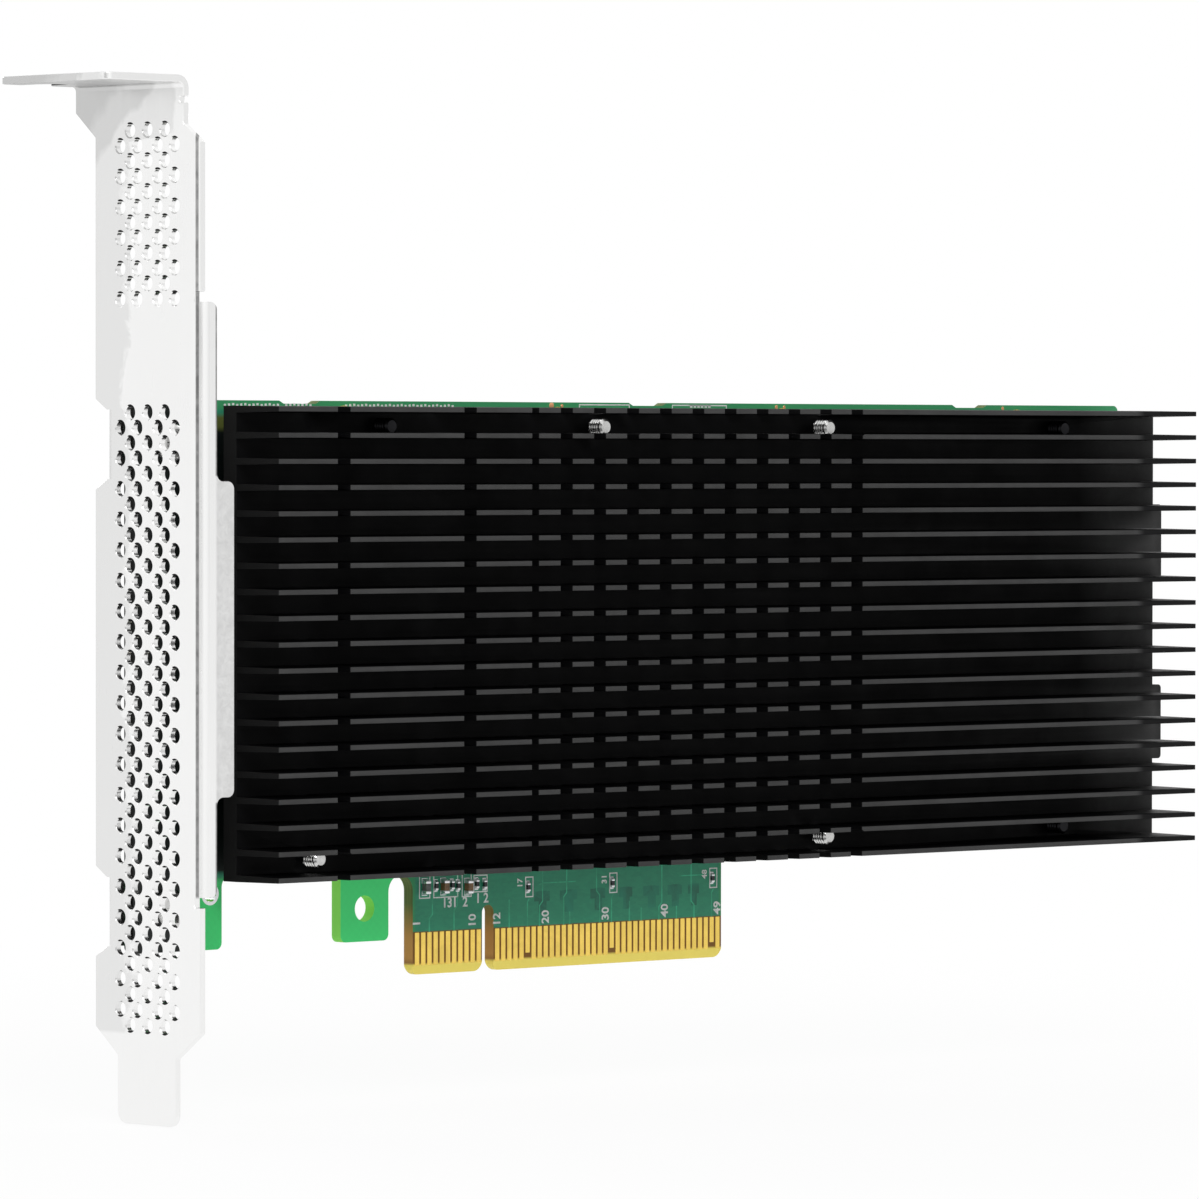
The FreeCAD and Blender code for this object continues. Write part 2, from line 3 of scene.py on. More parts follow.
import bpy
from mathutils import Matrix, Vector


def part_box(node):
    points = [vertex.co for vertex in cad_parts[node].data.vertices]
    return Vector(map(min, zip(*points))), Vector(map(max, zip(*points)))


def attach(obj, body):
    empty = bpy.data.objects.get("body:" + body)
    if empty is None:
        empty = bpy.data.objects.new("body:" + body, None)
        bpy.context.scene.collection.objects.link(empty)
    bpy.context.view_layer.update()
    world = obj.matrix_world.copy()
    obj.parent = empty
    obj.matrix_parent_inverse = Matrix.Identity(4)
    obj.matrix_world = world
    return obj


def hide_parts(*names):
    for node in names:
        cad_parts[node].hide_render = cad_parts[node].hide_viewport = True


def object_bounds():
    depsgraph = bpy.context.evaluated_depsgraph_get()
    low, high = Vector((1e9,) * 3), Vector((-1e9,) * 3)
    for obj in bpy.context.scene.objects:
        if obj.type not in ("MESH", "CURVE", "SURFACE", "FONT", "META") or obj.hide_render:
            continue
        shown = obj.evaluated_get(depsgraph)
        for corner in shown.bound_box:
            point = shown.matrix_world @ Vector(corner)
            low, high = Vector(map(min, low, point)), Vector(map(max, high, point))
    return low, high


bl_info = {
    "name": "NVMe Adapter Card",
    "version": (1, 0, 0),
    "blender": (4, 5, 0),
    "location": "View3D > Sidebar > Adapter Card",
    "description": "Builds the finished pieces and materials of an expansion card for two drives",
    "category": "Object",
}

import math
from contextlib import contextmanager

import bmesh
import bpy
from mathutils import Matrix, Vector

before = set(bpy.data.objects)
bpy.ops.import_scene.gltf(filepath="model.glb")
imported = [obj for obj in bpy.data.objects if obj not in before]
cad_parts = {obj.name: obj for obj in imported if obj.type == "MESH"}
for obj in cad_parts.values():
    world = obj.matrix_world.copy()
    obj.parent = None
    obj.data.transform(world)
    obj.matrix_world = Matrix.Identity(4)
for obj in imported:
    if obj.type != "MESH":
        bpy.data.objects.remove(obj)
cad_low, cad_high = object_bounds()

MM = 0.001


def millimetres(node):
    """Lowest and highest corner of a node, in millimetres."""
    low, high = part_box(node)
    return low / MM, high / MM


board_low, board_high = millimetres("circuit_board")
bracket_low, bracket_high = millimetres("bracket")
sink_low, sink_high = millimetres("heat_sink")

# planes of the card, in millimetres: X runs along the board, Y through it and Z up from the contact edge
Y_FRONT = board_low.y
Y_BACK = board_high.y
FIN_FRONT = sink_low.y
BASE_BACK = sink_high.y
BRACKET_X = -57.85
SHEET = 0.86
FLANGE_EDGE = -55.23
FLANGE_ENDS = (11.4, 79.2)
WING_ENDS = (22.2, 59.4)
EAR_ENDS = (5.2, 13.2, 59.0, 67.0)
EAR_SCREWS = ((-50.35, 9.2), (-50.35, 63.0))
BODY_BOTTOM = 12.75
TONGUE_START = -14.8
FINGER_TOP = 5.0

# the two drives: their middles, and how far along the board their posts stand
DRIVE_LEVELS = (50.75, 27.6)
POST_REACHES = (74.9, 104.9)
DRIVE_LENGTHS = ("80", "110")

SCREW_LEVELS = (65.155, 14.825)
BRIGHT_SCREWS = [(11.4, SCREW_LEVELS[0]), (49.6, SCREW_LEVELS[0]), (-34.3, SCREW_LEVELS[1]), (49.6, SCREW_LEVELS[1])]
DARK_SCREWS = [(-23.2, SCREW_LEVELS[0]), (91.7, SCREW_LEVELS[0]), (91.7, SCREW_LEVELS[1])]
SINK_SCREWS = BRIGHT_SCREWS + DARK_SCREWS
FOOT_HOLE = (-43.99, 10.8)
PRINT_THICKNESS = 0.012


# ---- settings a user would change ---------------------------------------------------------------
def length(name, description, default, low, high):
    return bpy.props.FloatProperty(name=name, description=description + ", in millimetres", default=default,
                                   min=low, max=high)


class CardSizes(bpy.types.PropertyGroup):
    edge_softness: length("Edge softness", "Width of the broken edges of the bracket", 0.11, 0.02, 0.3)
    fin_softness: length("Fin softness", "Width of the broken edges of the fins", 0.09, 0.02, 0.2)
    vent_radius: length("Vent radius", "Radius of a vent hole", 0.81, 0.4, 0.85)
    trace_width: length("Trace width", "Width of a copper trace", 0.2, 0.08, 0.4)
    number_height: length("Number height", "Height of the printed numbers", 1.15, 0.5, 3.0)
    light_level: bpy.props.FloatProperty(
        name="Light level", description="Factor on every lamp and on the surroundings", default=1.0, min=0.2, max=2.0)


def colour(name, description, value):
    return bpy.props.FloatVectorProperty(name=name, description=description, subtype="COLOR", size=3,
                                         default=value, min=0.0, max=1.0)


class CardColours(bpy.types.PropertyGroup):
    nickel: colour("Nickel", "Plated sheet of the bracket", (0.92, 0.92, 0.915))
    mask: colour("Solder mask", "Mask over copper", (0.032, 0.285, 0.158))
    mask_dark: colour("Mask between copper", "Mask over bare laminate", (0.021, 0.20, 0.124))
    mask_bare: colour("Clear laminate", "Mask where no copper lies on either side", (0.036, 0.50, 0.135))
    laminate: colour("Laminate", "Cut edge of the glass-epoxy board", (0.15, 0.21, 0.06))
    gold: colour("Contact gold", "Plating of the contacts", (0.90, 0.64, 0.14))
    anodised: colour("Black anodising", "Flanks and base of the heat sink", (0.0016, 0.0016, 0.0018))
    # painted highlight: the paler front of the fins stands for light caught on their edges
    fin_tip: colour("Fin tips", "Front of the fins, rubbed paler", (0.06, 0.06, 0.06))
    ink: colour("Legend ink", "White print on the board", (0.85, 0.87, 0.85))
    ceramic: colour("Ceramic", "Body of the brown capacitors", (0.20, 0.115, 0.05))


# ---- materials: nodes and shared groups ---------------------------------------------------------
class Signal:
    """An output of a node. Sums, products and the methods below each add the node that works them out."""

    def __init__(self, node, output=0):
        self.node, self.tree, self.socket = node, node.id_data, node.outputs[output]

    def maths(self, operation, first, second, clamp=False):
        return add(self.tree, "ShaderNodeMath", {0: first, 1: second}, operation=operation, use_clamp=clamp)

    def __add__(self, other):
        return self.maths("ADD", self, other)

    def __sub__(self, other):
        return self.maths("SUBTRACT", self, other)

    def __rsub__(self, other):
        return self.maths("SUBTRACT", other, self)

    def __mul__(self, other):
        return self.maths("MULTIPLY", self, other)

    def __truediv__(self, other):
        return self.maths("DIVIDE", self, other)

    def plus(self, other):
        """Sum held between 0 and 1."""
        return self.maths("ADD", self, other, clamp=True)

    def less(self, other):
        """Difference held between 0 and 1."""
        return self.maths("SUBTRACT", self, other, clamp=True)

    def ramp(self, start, end, low=0.0, high=1.0, **settings):
        """Goes from low to high as the value goes from start to end."""
        return add(self.tree, "ShaderNodeMapRange", {"Value": self, "From Min": start, "From Max": end,
                                                     "To Min": low, "To Max": high}, **settings)

    def spread(self, low, high):
        """A mask turned into values from low to high."""
        return self.ramp(0.0, 1.0, low, high)

    def band(self, start=-1000.0, end=1000.0, soft=0.5):
        """1 where a length lies between two limits in millimetres, with ends as soft as wished."""
        return placed(self.tree, "Band", Value=self, From=start * MM, To=end * MM, Softness=soft * MM)

    def height(self):
        """Height that a shared group gives along with its mask."""
        return Signal(self.node, "Height")


def add(tree, kind, inputs=None, output=0, **settings):
    """A node with its settings; each input takes another node's output or a fixed value."""
    node = tree.nodes.new(kind)
    for key, value in settings.items():
        setattr(node, key, value)
    for key, value in (inputs or {}).items():
        if isinstance(value, Signal):
            tree.links.new(value.socket, node.inputs[key])
        else:
            node.inputs[key].default_value = value
    return Signal(node, output)


def mixed(mask, first, second):
    """First colour where the mask is 0, second where it is 1."""
    inputs = {key: value if isinstance(value, Signal) else (*value, 1.0) for key, value in ((6, first), (7, second))}
    return add(mask.tree, "ShaderNodeMix", {0: mask, **inputs}, 2, data_type="RGBA")


def vector_maths(first, second, operation, output=0):
    return add(first.tree, "ShaderNodeVectorMath", {0: first, 1: second}, output, operation=operation)


def object_place(tree):
    return add(tree, "ShaderNodeTexCoord", output="Object")


def coordinates(tree):
    """X, Y and Z on the piece, in metres."""
    split = add(tree, "ShaderNodeSeparateXYZ", {0: object_place(tree)})
    return [Signal(split.node, axis) for axis in "XYZ"]


def band(tree, value, start, end, softness):
    """A mask that is 1 where a value lies between two limits, with soft ends."""
    rise = ((value - start) / softness).plus(0.5)
    fall = ((end - value) / softness).plus(0.5)
    return [rise * fall]


def grain(tree, stretch, scale):
    """Fine lines drawn out along one direction, and a height for their bump."""
    drawn = vector_maths(object_place(tree), stretch, "MULTIPLY")
    noise = add(tree, "ShaderNodeTexNoise", {"Vector": drawn, "Scale": scale, "Detail": 3.0, "Roughness": 0.6})
    return noise.ramp(0.35, 0.65), noise


def patches(tree, size, contrast):
    """Large soft patches with finer mottling, as handling and uneven plating leave."""
    wide = add(tree, "ShaderNodeTexNoise", {"Vector": object_place(tree), "Scale": size.maths("DIVIDE", 1.0, size),
                                            "Detail": 5.0, "Roughness": 0.62, "Distortion": 0.6})
    low = contrast * 0.5
    return wide.ramp(low, 1.0 - low), wide


def glass_weave(tree, pitch):
    """The glass cloth that shows faintly through the mask: two crossed sets of threads."""
    x, _, z = coordinates(tree)
    turns = pitch.maths("DIVIDE", 2 * math.pi, pitch)
    across, up = (x.maths("SINE", axis * turns, 0.0) for axis in (x, z))
    return [across * up * 0.5 + 0.5]


GROUPS = {}


def make_group(name, work, outputs, **inputs):
    """A shared group whose outputs are worked out from its named inputs."""
    GROUPS[name] = group = bpy.data.node_groups.new(name, "ShaderNodeTree")
    for label, value in inputs.items():
        kind = "NodeSocketVector" if isinstance(value, tuple) else "NodeSocketFloat"
        group.interface.new_socket(name=label, in_out="INPUT", socket_type=kind).default_value = value
    for label in outputs:
        group.interface.new_socket(name=label, in_out="OUTPUT", socket_type="NodeSocketFloat")
    entry, out = group.nodes.new("NodeGroupInput"), group.nodes.new("NodeGroupOutput")
    for label, signal in zip(outputs, work(group, *(Signal(entry, label) for label in inputs))):
        group.links.new(signal.socket, out.inputs[label])


def placed(tree, name, **values):
    """One of the shared groups inside a material, with its own values."""
    return add(tree, "ShaderNodeGroup", values, node_tree=GROUPS[name])


# ---- materials ----------------------------------------------------------------------------------
class Surface:
    """A material and its shader."""

    def __init__(self, name, base, roughness, metallic=0.0, specular=0.5):
        self.material = bpy.data.materials.new(name)
        self.material.use_nodes = True
        self.material.diffuse_color = (*base, 1.0)
        self.tree = self.material.node_tree
        self.shader = self.tree.nodes["Principled BSDF"]
        for label, value in (("Base Color", (*base, 1.0)), ("Roughness", roughness), ("Metallic", metallic),
                             ("Specular IOR Level", specular)):
            self.shader.inputs[label].default_value = value

    def placed(self, name, **values):
        return placed(self.tree, name, **values)

    def feed(self, label, signal):
        self.tree.links.new(signal.socket, self.shader.inputs[label])

    def finish(self, base, height, distance, strength=0.5, roughness=None):
        """Feed the shader its colour, its roughness if that varies, and the bump of a height."""
        self.feed("Base Color", base)
        if roughness:
            self.feed("Roughness", roughness)
        self.feed("Normal", add(self.tree, "ShaderNodeBump", {"Height": height, "Distance": distance,
                                                              "Strength": strength}))
        return self.material


def tint(base, factor):
    return tuple(min(1.0, channel * factor) for channel in base)


def metal(name, base, roughness, scale, patch, stretch=(1.0, 1.0, 1.0)):
    """Plated or bare metal with drawn grain and uneven patches."""
    plate = Surface(name, base, roughness, metallic=1.0)
    lines = plate.placed("Grain", Stretch=stretch, Scale=scale)
    spots = plate.placed("Patches", Size=patch, Contrast=0.55)
    tone = mixed(spots, tint(base, 0.93), tint(base, 1.05))
    tone = mixed(lines * 0.12, tone, tint(base, 0.8))
    return plate.finish(tone, lines.height(), 0.000004, 0.35, spots.spread(roughness + 0.07, roughness - 0.05))


def moulding(name, base, roughness, grit=0.00012, depth=0.000008, specular=0.4):
    """Moulded or pressed body with a fine grit."""
    body = Surface(name, base, roughness, specular=specular)
    spots = body.placed("Patches", Size=grit * 4, Contrast=0.8)
    tone = mixed(spots, tint(base, 0.8), tint(base, 1.25))
    return body.finish(tone, spots.height(), depth, 0.5, spots.spread(roughness - 0.06, roughness + 0.08))


HEAD_BOTTOM = 98.0
HEAD_DARKER_EXTRA = 8.0
DARKER_STRIP_START = -2.4
DARKER_STRIP_FOOT = -4.6
# where the painted dark reflection lies across the bend
BEND_REFLECTION = (0.22, 0.75)
FLANGE_NEAR = -13.5


def bracket_material(colours):
    """Bright nickel, darker in a strip along the far edge that widens in the head; painted shade on the head's far
    corner and tip and on the wing, a painted dark reflection in the bend and painted shade along the flange's edge.
    """
    nickel = colours.nickel
    sheet = Surface("Bright Nickel Sheet", nickel, 0.3, metallic=1.0)
    x, y, z = coordinates(sheet.tree)
    lines = sheet.placed("Grain", Stretch=(1.0, 1.0, 0.05), Scale=2600.0)
    wide, fine, specks, blots = (sheet.placed("Patches", Size=size, Contrast=contrast) for size, contrast in (
        (0.018, 0.35), (0.0016, 0.7), (0.0009, 0.45), (0.0055, 0.55)))
    # painted shade: the far corner of the head is darker, and its tip darker still
    reach = z + y * 0.9 + wide.spread(-0.004, 0.004)
    corner = reach.band(98.2, soft=1.0)
    tip = reach.band(103.0, soft=2.0)
    # a darker strip along the far edge, wider in the head and ending above the tongue
    reach = y + blots.spread(-0.0016, 0.0016) + z.band(HEAD_BOTTOM, soft=0.8) * (HEAD_DARKER_EXTRA * MM)
    side = reach.band(DARKER_STRIP_START, soft=0.8) * z.band(DARKER_STRIP_FOOT, soft=0.4)
    # painted reflection: a dark line in the bend, where it reflects dark surroundings, and painted shade along the
    # edge of the flange above and below the wing
    bend = BRACKET_X - bracket_low.y
    bend_reflection = (x - y).band(bend - BEND_REFLECTION[1], bend - BEND_REFLECTION[0], 0.12) * z.band(FLANGE_ENDS[0], soft=0.4)
    near = y.band(end=FLANGE_NEAR, soft=0.5)
    flange_edge_shade = x.band(FLANGE_EDGE - 0.26, FLANGE_EDGE + 0.02, 0.06)
    beside_wing = 1.0 - z.band(*WING_ENDS, 0.2)
    painted_dark_lines = (flange_edge_shade * beside_wing * near).plus(bend_reflection) * fine.spread(0.75, 1.0)
    # painted shade: the wing is darker, with specks, as it is turned from the light; it is also rougher
    wing = x.band(BRACKET_X + 2.5, BRACKET_X + 9.0, 0.3) * near
    tone = mixed(wide, tint(nickel, 0.985), tint(nickel, 1.015))
    # fine mottling, the darker strip along the far edge, and the painted shade on the head's far corner and tip
    for mask, shade in ((fine * 0.25, 0.97), (side * 0.95, 0.86), (corner * 0.9, 0.71), (tip * 0.8, 0.60)):
        tone = mixed(mask, tone, tint(nickel, shade))
    # painted shade on the wing
    tone = mixed(wing * 0.9, tone, mixed(specks, tint(nickel, 0.90), tint(nickel, 0.66)))
    # the painted reflection in the bend and the painted shade along the flange's edge, near black
    tone = mixed(painted_dark_lines, tone, tint(nickel, 0.26))
    rough = wide.spread(0.24, 0.17) + lines.spread(0.0, 0.06) + wing * 0.12
    return sheet.finish(tone, lines.height() + fine.height(), 0.000005, 0.4, rough)


# where the painted highlight on the fin tips ends
TIP_HIGHLIGHT_END = 100.0
# where the painted light between the fins begins and where it is full
LIT_SPACE_ENDS = (96.5, 102.5)


def heat_sink_material(colours):
    """Black anodising with die lines along the fins, a painted highlight on the fin tips and painted light in the
    spaces where the fins run out.
    """
    # the fin-tip colour is a painted highlight
    black, rubbed = colours.anodised, colours.fin_tip
    body = Surface("Black Anodised Extrusion", black, 0.42, specular=0.07)
    x, y, _ = coordinates(body.tree)
    die = body.placed("Grain", Stretch=(0.01, 1.0, 1.0), Scale=3200.0)
    wear = body.placed("Patches", Size=0.006, Contrast=0.7)
    # painted highlight: the fin tips are paler where their edges catch the light, ending short of the far end
    tips = y.band(FIN_FRONT - 1.0, FIN_FRONT + 0.05, 0.08) * x.band(end=TIP_HIGHLIGHT_END, soft=1.4)
    flank = mixed(die * 0.35, black, tint(black, 2.4))
    flank = mixed(wear * 0.3, flank, tint(black, 3.0))
    # painted light: the spaces between the fins are painted grey towards the far end, where light falls in at the
    # open end, and the near end face is a little paler
    ending = x.ramp(*(end * MM for end in LIT_SPACE_ENDS)) * y.band(FIN_FRONT + 1.5, soft=1.0) * wear.spread(0.6, 1.0)
    flank = mixed(ending, flank, (0.062,) * 3)
    flank = mixed(x.band(end=sink_low.x + 0.06, soft=0.02), flank, (0.011,) * 3)
    lit_tip_tone = mixed(die * 0.3, rubbed, tint(rubbed, 0.7))
    tone = mixed(tips * wear.spread(0.78, 1.0), flank, lit_tip_tone)
    return body.finish(tone, die.height(), 0.000006, 0.45, wear.spread(0.38, 0.5) + die.spread(0.0, 0.08))


POUR_CELLS = 210.0
COPPER_MARGIN = 1.1
TONGUE_POUR = (-11.8, 38.8)
TONGUE_TOP = 12.7
FOOT_TOP = 12.4
HOOK_START = -30.0
CONTACT_FIELD_TOP = 5.1
BEVEL_TOP = 1.25
# where the board gets painted shade between the bracket and the heat sink
SHADE_BEHIND_VENTS = -47.2
SHADE_STRIP_WIDTH = 5.5
SHADE_STRIP_LEVELS = (13.2, 66.4)
SHADE_TOP_LEVEL = 64.7


def board_material(colours):
    """Solder mask over copper, clear on the foot and hook, bare laminate on the cut edges and bevel; painted shade on
    the strip between the bracket and the heat sink, and a painted glow through the clear laminate and the cut edges.
    """
    board = Surface("Green Solder Mask", colours.mask, 0.36, specular=0.28)
    tree = board.tree
    x, y, z = coordinates(tree)
    # small cells of copper, as many to the height of the board as to its length
    size = board_high - board_low
    spot = add(tree, "ShaderNodeVectorMath", {
        0: object_place(tree), 1: [1 / (MM * side) for side in size],
        2: [-low / side for low, side in zip(board_low, size)]}, operation="MULTIPLY_ADD")
    pours = add(tree, "ShaderNodeTexVoronoi", {"Vector": spot, "Scale": POUR_CELLS, "Randomness": 0.9}, "Color",
                distance="CHEBYCHEV")
    pours = add(tree, "ShaderNodeSeparateColor", {0: pours})
    mottle = board.placed("Patches", Size=0.004, Contrast=0.6)
    weave = board.placed("Glass Weave", Pitch=0.0011)
    copper = mixed(pours * 0.45, colours.mask, colours.mask_dark)
    copper = mixed(mottle * 0.22, copper, tint(colours.mask, 1.35))
    # no copper runs within a millimetre of the top edge or of the tongue's ends, so the mask is paler there
    rim = z.band(board_high.z - COPPER_MARGIN, soft=0.3)
    ends = z.band(end=TONGUE_TOP, soft=0.3) * (1.0 - x.band(*TONGUE_POUR, 0.3))
    copper = mixed(rim.plus(ends) * 0.8, copper, (0.042, 0.33, 0.115))
    # no copper lies in the foot and the hook
    clear = mixed(weave * 0.18, colours.mask_bare, tint(colours.mask_bare, 0.75))
    clear = mixed(mottle * 0.2, clear, tint(colours.mask_bare, 1.2))
    no_copper = x.band(end=TONGUE_START, soft=0.4) * z.band(end=FOOT_TOP, soft=0.6)
    covered = mixed(no_copper, copper, clear)
    # the contact field has no mask: brown between the contacts, pale gold on the bevel
    tongue = x.band(TONGUE_START, soft=0.1)
    field = tongue * z.band(end=CONTACT_FIELD_TOP, soft=0.12)
    bare = mixed(z.band(end=BEVEL_TOP, soft=0.3), (0.20, 0.088, 0.009), (0.97, 0.80, 0.15))
    # painted shade: the strip of board in the shaded slot behind the end of the heat sink, and the whole height of it
    # behind the vents, is painted near black, and olive above a level except behind the vents
    behind = x.band(end=SHADE_BEHIND_VENTS, soft=1.6)
    strip = x.band(end=sink_low.x + SHADE_STRIP_WIDTH, soft=1.0) * z.band(*SHADE_STRIP_LEVELS, 0.6)
    strip = strip.maths("MAXIMUM", strip, behind)
    black = mixed(z.band(SHADE_TOP_LEVEL, soft=0.6).less(behind), (0.006, 0.010, 0.009), (0.105, 0.125, 0.028))
    front = y.band(end=Y_FRONT + 0.3, soft=0.1)
    faced = mixed(field, mixed(strip * front, covered, black), bare)
    # the cut edges show the plies, browner with dirt along the tongue
    cut = y.band(Y_FRONT + 0.01, Y_BACK - 0.01, 0.01) * z.band(1.5, soft=1.0)
    dirty = z.band(end=6.5, soft=4.0) * tongue
    plies = board.placed("Grain", Stretch=(0.05, 1.0, 0.05), Scale=2500.0)
    edge = mixed(plies, colours.laminate, tint(colours.laminate, 0.6))
    # cut edges: dirt along the tongue, paler laminate on the clear foot and hook, near black in the painted shade
    # strip
    for mask, shade in ((dirty, (0.42, 0.22, 0.06)), (no_copper, (0.19, 0.52, 0.09)), (strip, (0.010, 0.010, 0.008))):
        edge = mixed(mask, edge, shade)
    # painted glow: emission stands in for daylight through the laminate where it has no copper and out of its cut
    # edges, brown on the dirty edges of the tongue, and none in the painted shade strip
    through = no_copper * x.band(HOOK_START, soft=0.5).spread(0.35, 1.0)
    glow = mixed(through, (0.0,) * 3, mixed(cut, (0.018, 0.20, 0.055), (0.05, 0.19, 0.02)))
    glow = mixed(cut * dirty, glow, (0.05, 0.026, 0.005))
    board.feed("Emission Color", mixed(strip, glow, (0.0,) * 3))
    board.shader.inputs["Emission Strength"].default_value = 1.0
    rough = mottle.spread(0.32, 0.42) + cut * 0.35
    return board.finish(mixed(cut, faced, edge), pours * 0.6 + weave * 0.25, 0.000015, 0.5, rough)


def gold_material(base):
    """Contact plating with fine wipe marks."""
    plate = Surface("Contact Gold", base, 0.28, metallic=1.0)
    spots = plate.placed("Patches", Size=0.002, Contrast=0.7)
    wipes = plate.placed("Grain", Stretch=(1.0, 1.0, 0.03), Scale=4200.0)
    tone = mixed(wipes * 0.2, mixed(spots, tint(base, 0.9), tint(base, 1.06)), tint(base, 0.82))
    return plate.finish(tone, wipes.height(), 0.000003, 0.3, wipes.spread(0.24, 0.36))


def ink_material(base):
    """White print, a little uneven."""
    print_coat = Surface("Legend Ink", base, 0.55, specular=0.3)
    spots = print_coat.placed("Patches", Size=0.0006, Contrast=0.8)
    return print_coat.finish(mixed(spots, tint(base, 0.86), base), spots.height(), 0.000004)


def pad_material(base):
    """Soft gap filler with a faint dimpled liner pattern."""
    pad = Surface("Thermal Pad", base, 0.72, specular=0.3)
    weave = pad.placed("Glass Weave", Pitch=0.0016)
    spots = pad.placed("Patches", Size=0.004, Contrast=0.6)
    tone = mixed(weave * 0.2, mixed(spots, tint(base, 0.88), tint(base, 1.1)), tint(base, 0.8))
    return pad.finish(tone, weave, 0.00005)


MATERIALS = {}


def make_materials(colours):
    make_group("Band", band, ["Mask"], Value=0.0, From=0.0, To=1.0, Softness=0.1)
    make_group("Grain", grain, ["Mask", "Height"], Stretch=(1.0, 1.0, 1.0), Scale=1000.0)
    make_group("Patches", patches, ["Mask", "Height"], Size=0.01, Contrast=0.5)
    make_group("Glass Weave", glass_weave, ["Mask"], Pitch=0.0009)
    MATERIALS.update(
        nickel=bracket_material(colours),
        sink=heat_sink_material(colours),
        board=board_material(colours),
        gold=gold_material(colours.gold),
        ink=ink_material(colours.ink),
        pad=pad_material((0.30, 0.33, 0.37)),
        trace=moulding("Mask Over Trace", tint(colours.mask, 1.45), 0.36, 0.0006, 0.000002, 0.28),
        gap=moulding("Mask Over Laminate", colours.mask_dark, 0.36, 0.0008, 0.000002, 0.28),
        # painted shade: near black for the upper walls of the vents and the wall of the tab's notch
        burr=moulding("Painted Vent Shade", (0.010, 0.010, 0.010), 0.7, specular=0.15),
        screw=metal("Plated Screw", (0.66, 0.66, 0.65), 0.26, 3000.0, 0.002),
        dark_screw=metal("Black Screw", (0.022, 0.022, 0.024), 0.32, 3000.0, 0.002),
        brass=metal("Turned Brass", (0.72, 0.58, 0.30), 0.3, 900.0, 0.003, stretch=(1.0, 30.0, 1.0)),
        tin=metal("Solder", (0.74, 0.75, 0.76), 0.3, 5000.0, 0.0008),
        copper=metal("Bare Copper", (0.80, 0.40, 0.20), 0.34, 4000.0, 0.001),
        socket=moulding("Socket Housing", (0.012, 0.012, 0.013), 0.5),
        ferrite=moulding("Pressed Iron Powder", (0.075, 0.078, 0.085), 0.62, 0.0003, 0.00003),
        epoxy=moulding("Chip Epoxy", (0.014, 0.014, 0.016), 0.55),
        case=moulding("Capacitor Body", (0.022, 0.022, 0.026), 0.45),
        ceramic=moulding("Fired Ceramic", colours.ceramic, 0.4),
        grey_ceramic=moulding("Grey Ceramic", (0.12, 0.13, 0.12), 0.4),
        glaze=moulding("Resistor Glaze", (0.016, 0.017, 0.022), 0.3))


# ---- modelling helpers: every mesh is worked in millimetres ------------------------------------
CAP_TO_SIZE = 1.42
FIGURE_WEIGHT = 0.035
TRACE_FLATNESS = 0.16
UPRIGHT = Matrix.Rotation(math.radians(90.0), 4, "Z")
TOWARDS_FRONT = Matrix.Rotation(math.radians(90.0), 4, "X")


def level_flats(mesh, within=32.0):
    """Corner normals that keep faces square to an axis flat, with their rounded edges flowing out of them."""
    flats = {}
    for face in mesh.polygons:
        if max(abs(c) for c in face.normal) > 0.99999:
            for corner in face.vertices:
                flats.setdefault(corner, []).append(face.normal.copy())
    limit = math.cos(math.radians(within))
    normals = [Vector(corner.vector) for corner in mesh.corner_normals]
    for face in mesh.polygons:
        for index in face.loop_indices:
            beside = [n for n in flats.get(mesh.loops[index].vertex_index, ()) if n.dot(face.normal) > limit]
            if beside:
                normals[index] = max(beside, key=lambda n: n.dot(face.normal))
    mesh.normals_split_custom_set(normals)


def make_piece(bm, name, slot, *materials, node=None, sharp=35.0, weighted=False, level=False):
    """Turn a mesh worked in millimetres into a piece of the card, in the place of a node if one is named."""
    bmesh.ops.scale(bm, vec=(MM, MM, MM), verts=bm.verts)
    for face in bm.faces:
        face.smooth = True
    mesh = bpy.data.meshes.new(name)
    bm.to_mesh(mesh)
    bm.free()
    mesh.set_sharp_from_angle(angle=math.radians(sharp))
    if level:
        level_flats(mesh)
    for key in materials:
        mesh.materials.append(MATERIALS[key])
    piece = bpy.data.objects.new(name, mesh)
    bpy.context.scene.collection.objects.link(piece)
    if weighted:
        finish = piece.modifiers.new("Even normals", "WEIGHTED_NORMAL")
        finish.keep_sharp = True
    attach(piece, "root")
    if node:
        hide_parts(node)


def merged_copy(node, whole_faces=True):
    """A node's shape in millimetres, welded, and with its flat faces whole again if wanted."""
    bm = bmesh.new()
    bm.from_mesh(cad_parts[node].data)
    bmesh.ops.scale(bm, vec=(1 / MM,) * 3, verts=bm.verts)
    bmesh.ops.remove_doubles(bm, verts=bm.verts, dist=0.002)
    if whole_faces:
        bmesh.ops.dissolve_limit(bm, angle_limit=math.radians(1.0), verts=bm.verts, edges=bm.edges)
    return bm


def break_edges(bm, edges, width, segments=2, clamp=False):
    bmesh.ops.bevel(bm, geom=edges, offset=width, offset_type="OFFSET", segments=segments, profile=0.5,
                    affect="EDGES", clamp_overlap=clamp, material=-1)


def soften(bm, width, sharper_than=40.0, keep=None):
    """Break the sharp edges, or those of them that keep picks out."""
    break_edges(bm, [e for e in bm.edges if len(e.link_faces) == 2
                     and e.calc_face_angle(0.0) > math.radians(sharper_than) and (keep is None or keep(e))], width)


def soften_node(node, suffix, slot, key, width, keep=None, weighted=True):
    """Replace a node with its own shape, its edges broken."""
    bm = merged_copy(node)
    soften(bm, width, keep=keep)
    make_piece(bm, node + suffix, slot, key, node=node, weighted=weighted)


def dress_node(node, key):
    """Give a node that keeps its shape its material."""
    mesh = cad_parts[node].data
    mesh.materials.clear()
    mesh.materials.append(MATERIALS[key])


def material_of(faces, index):
    for face in faces:
        face.material_index = index


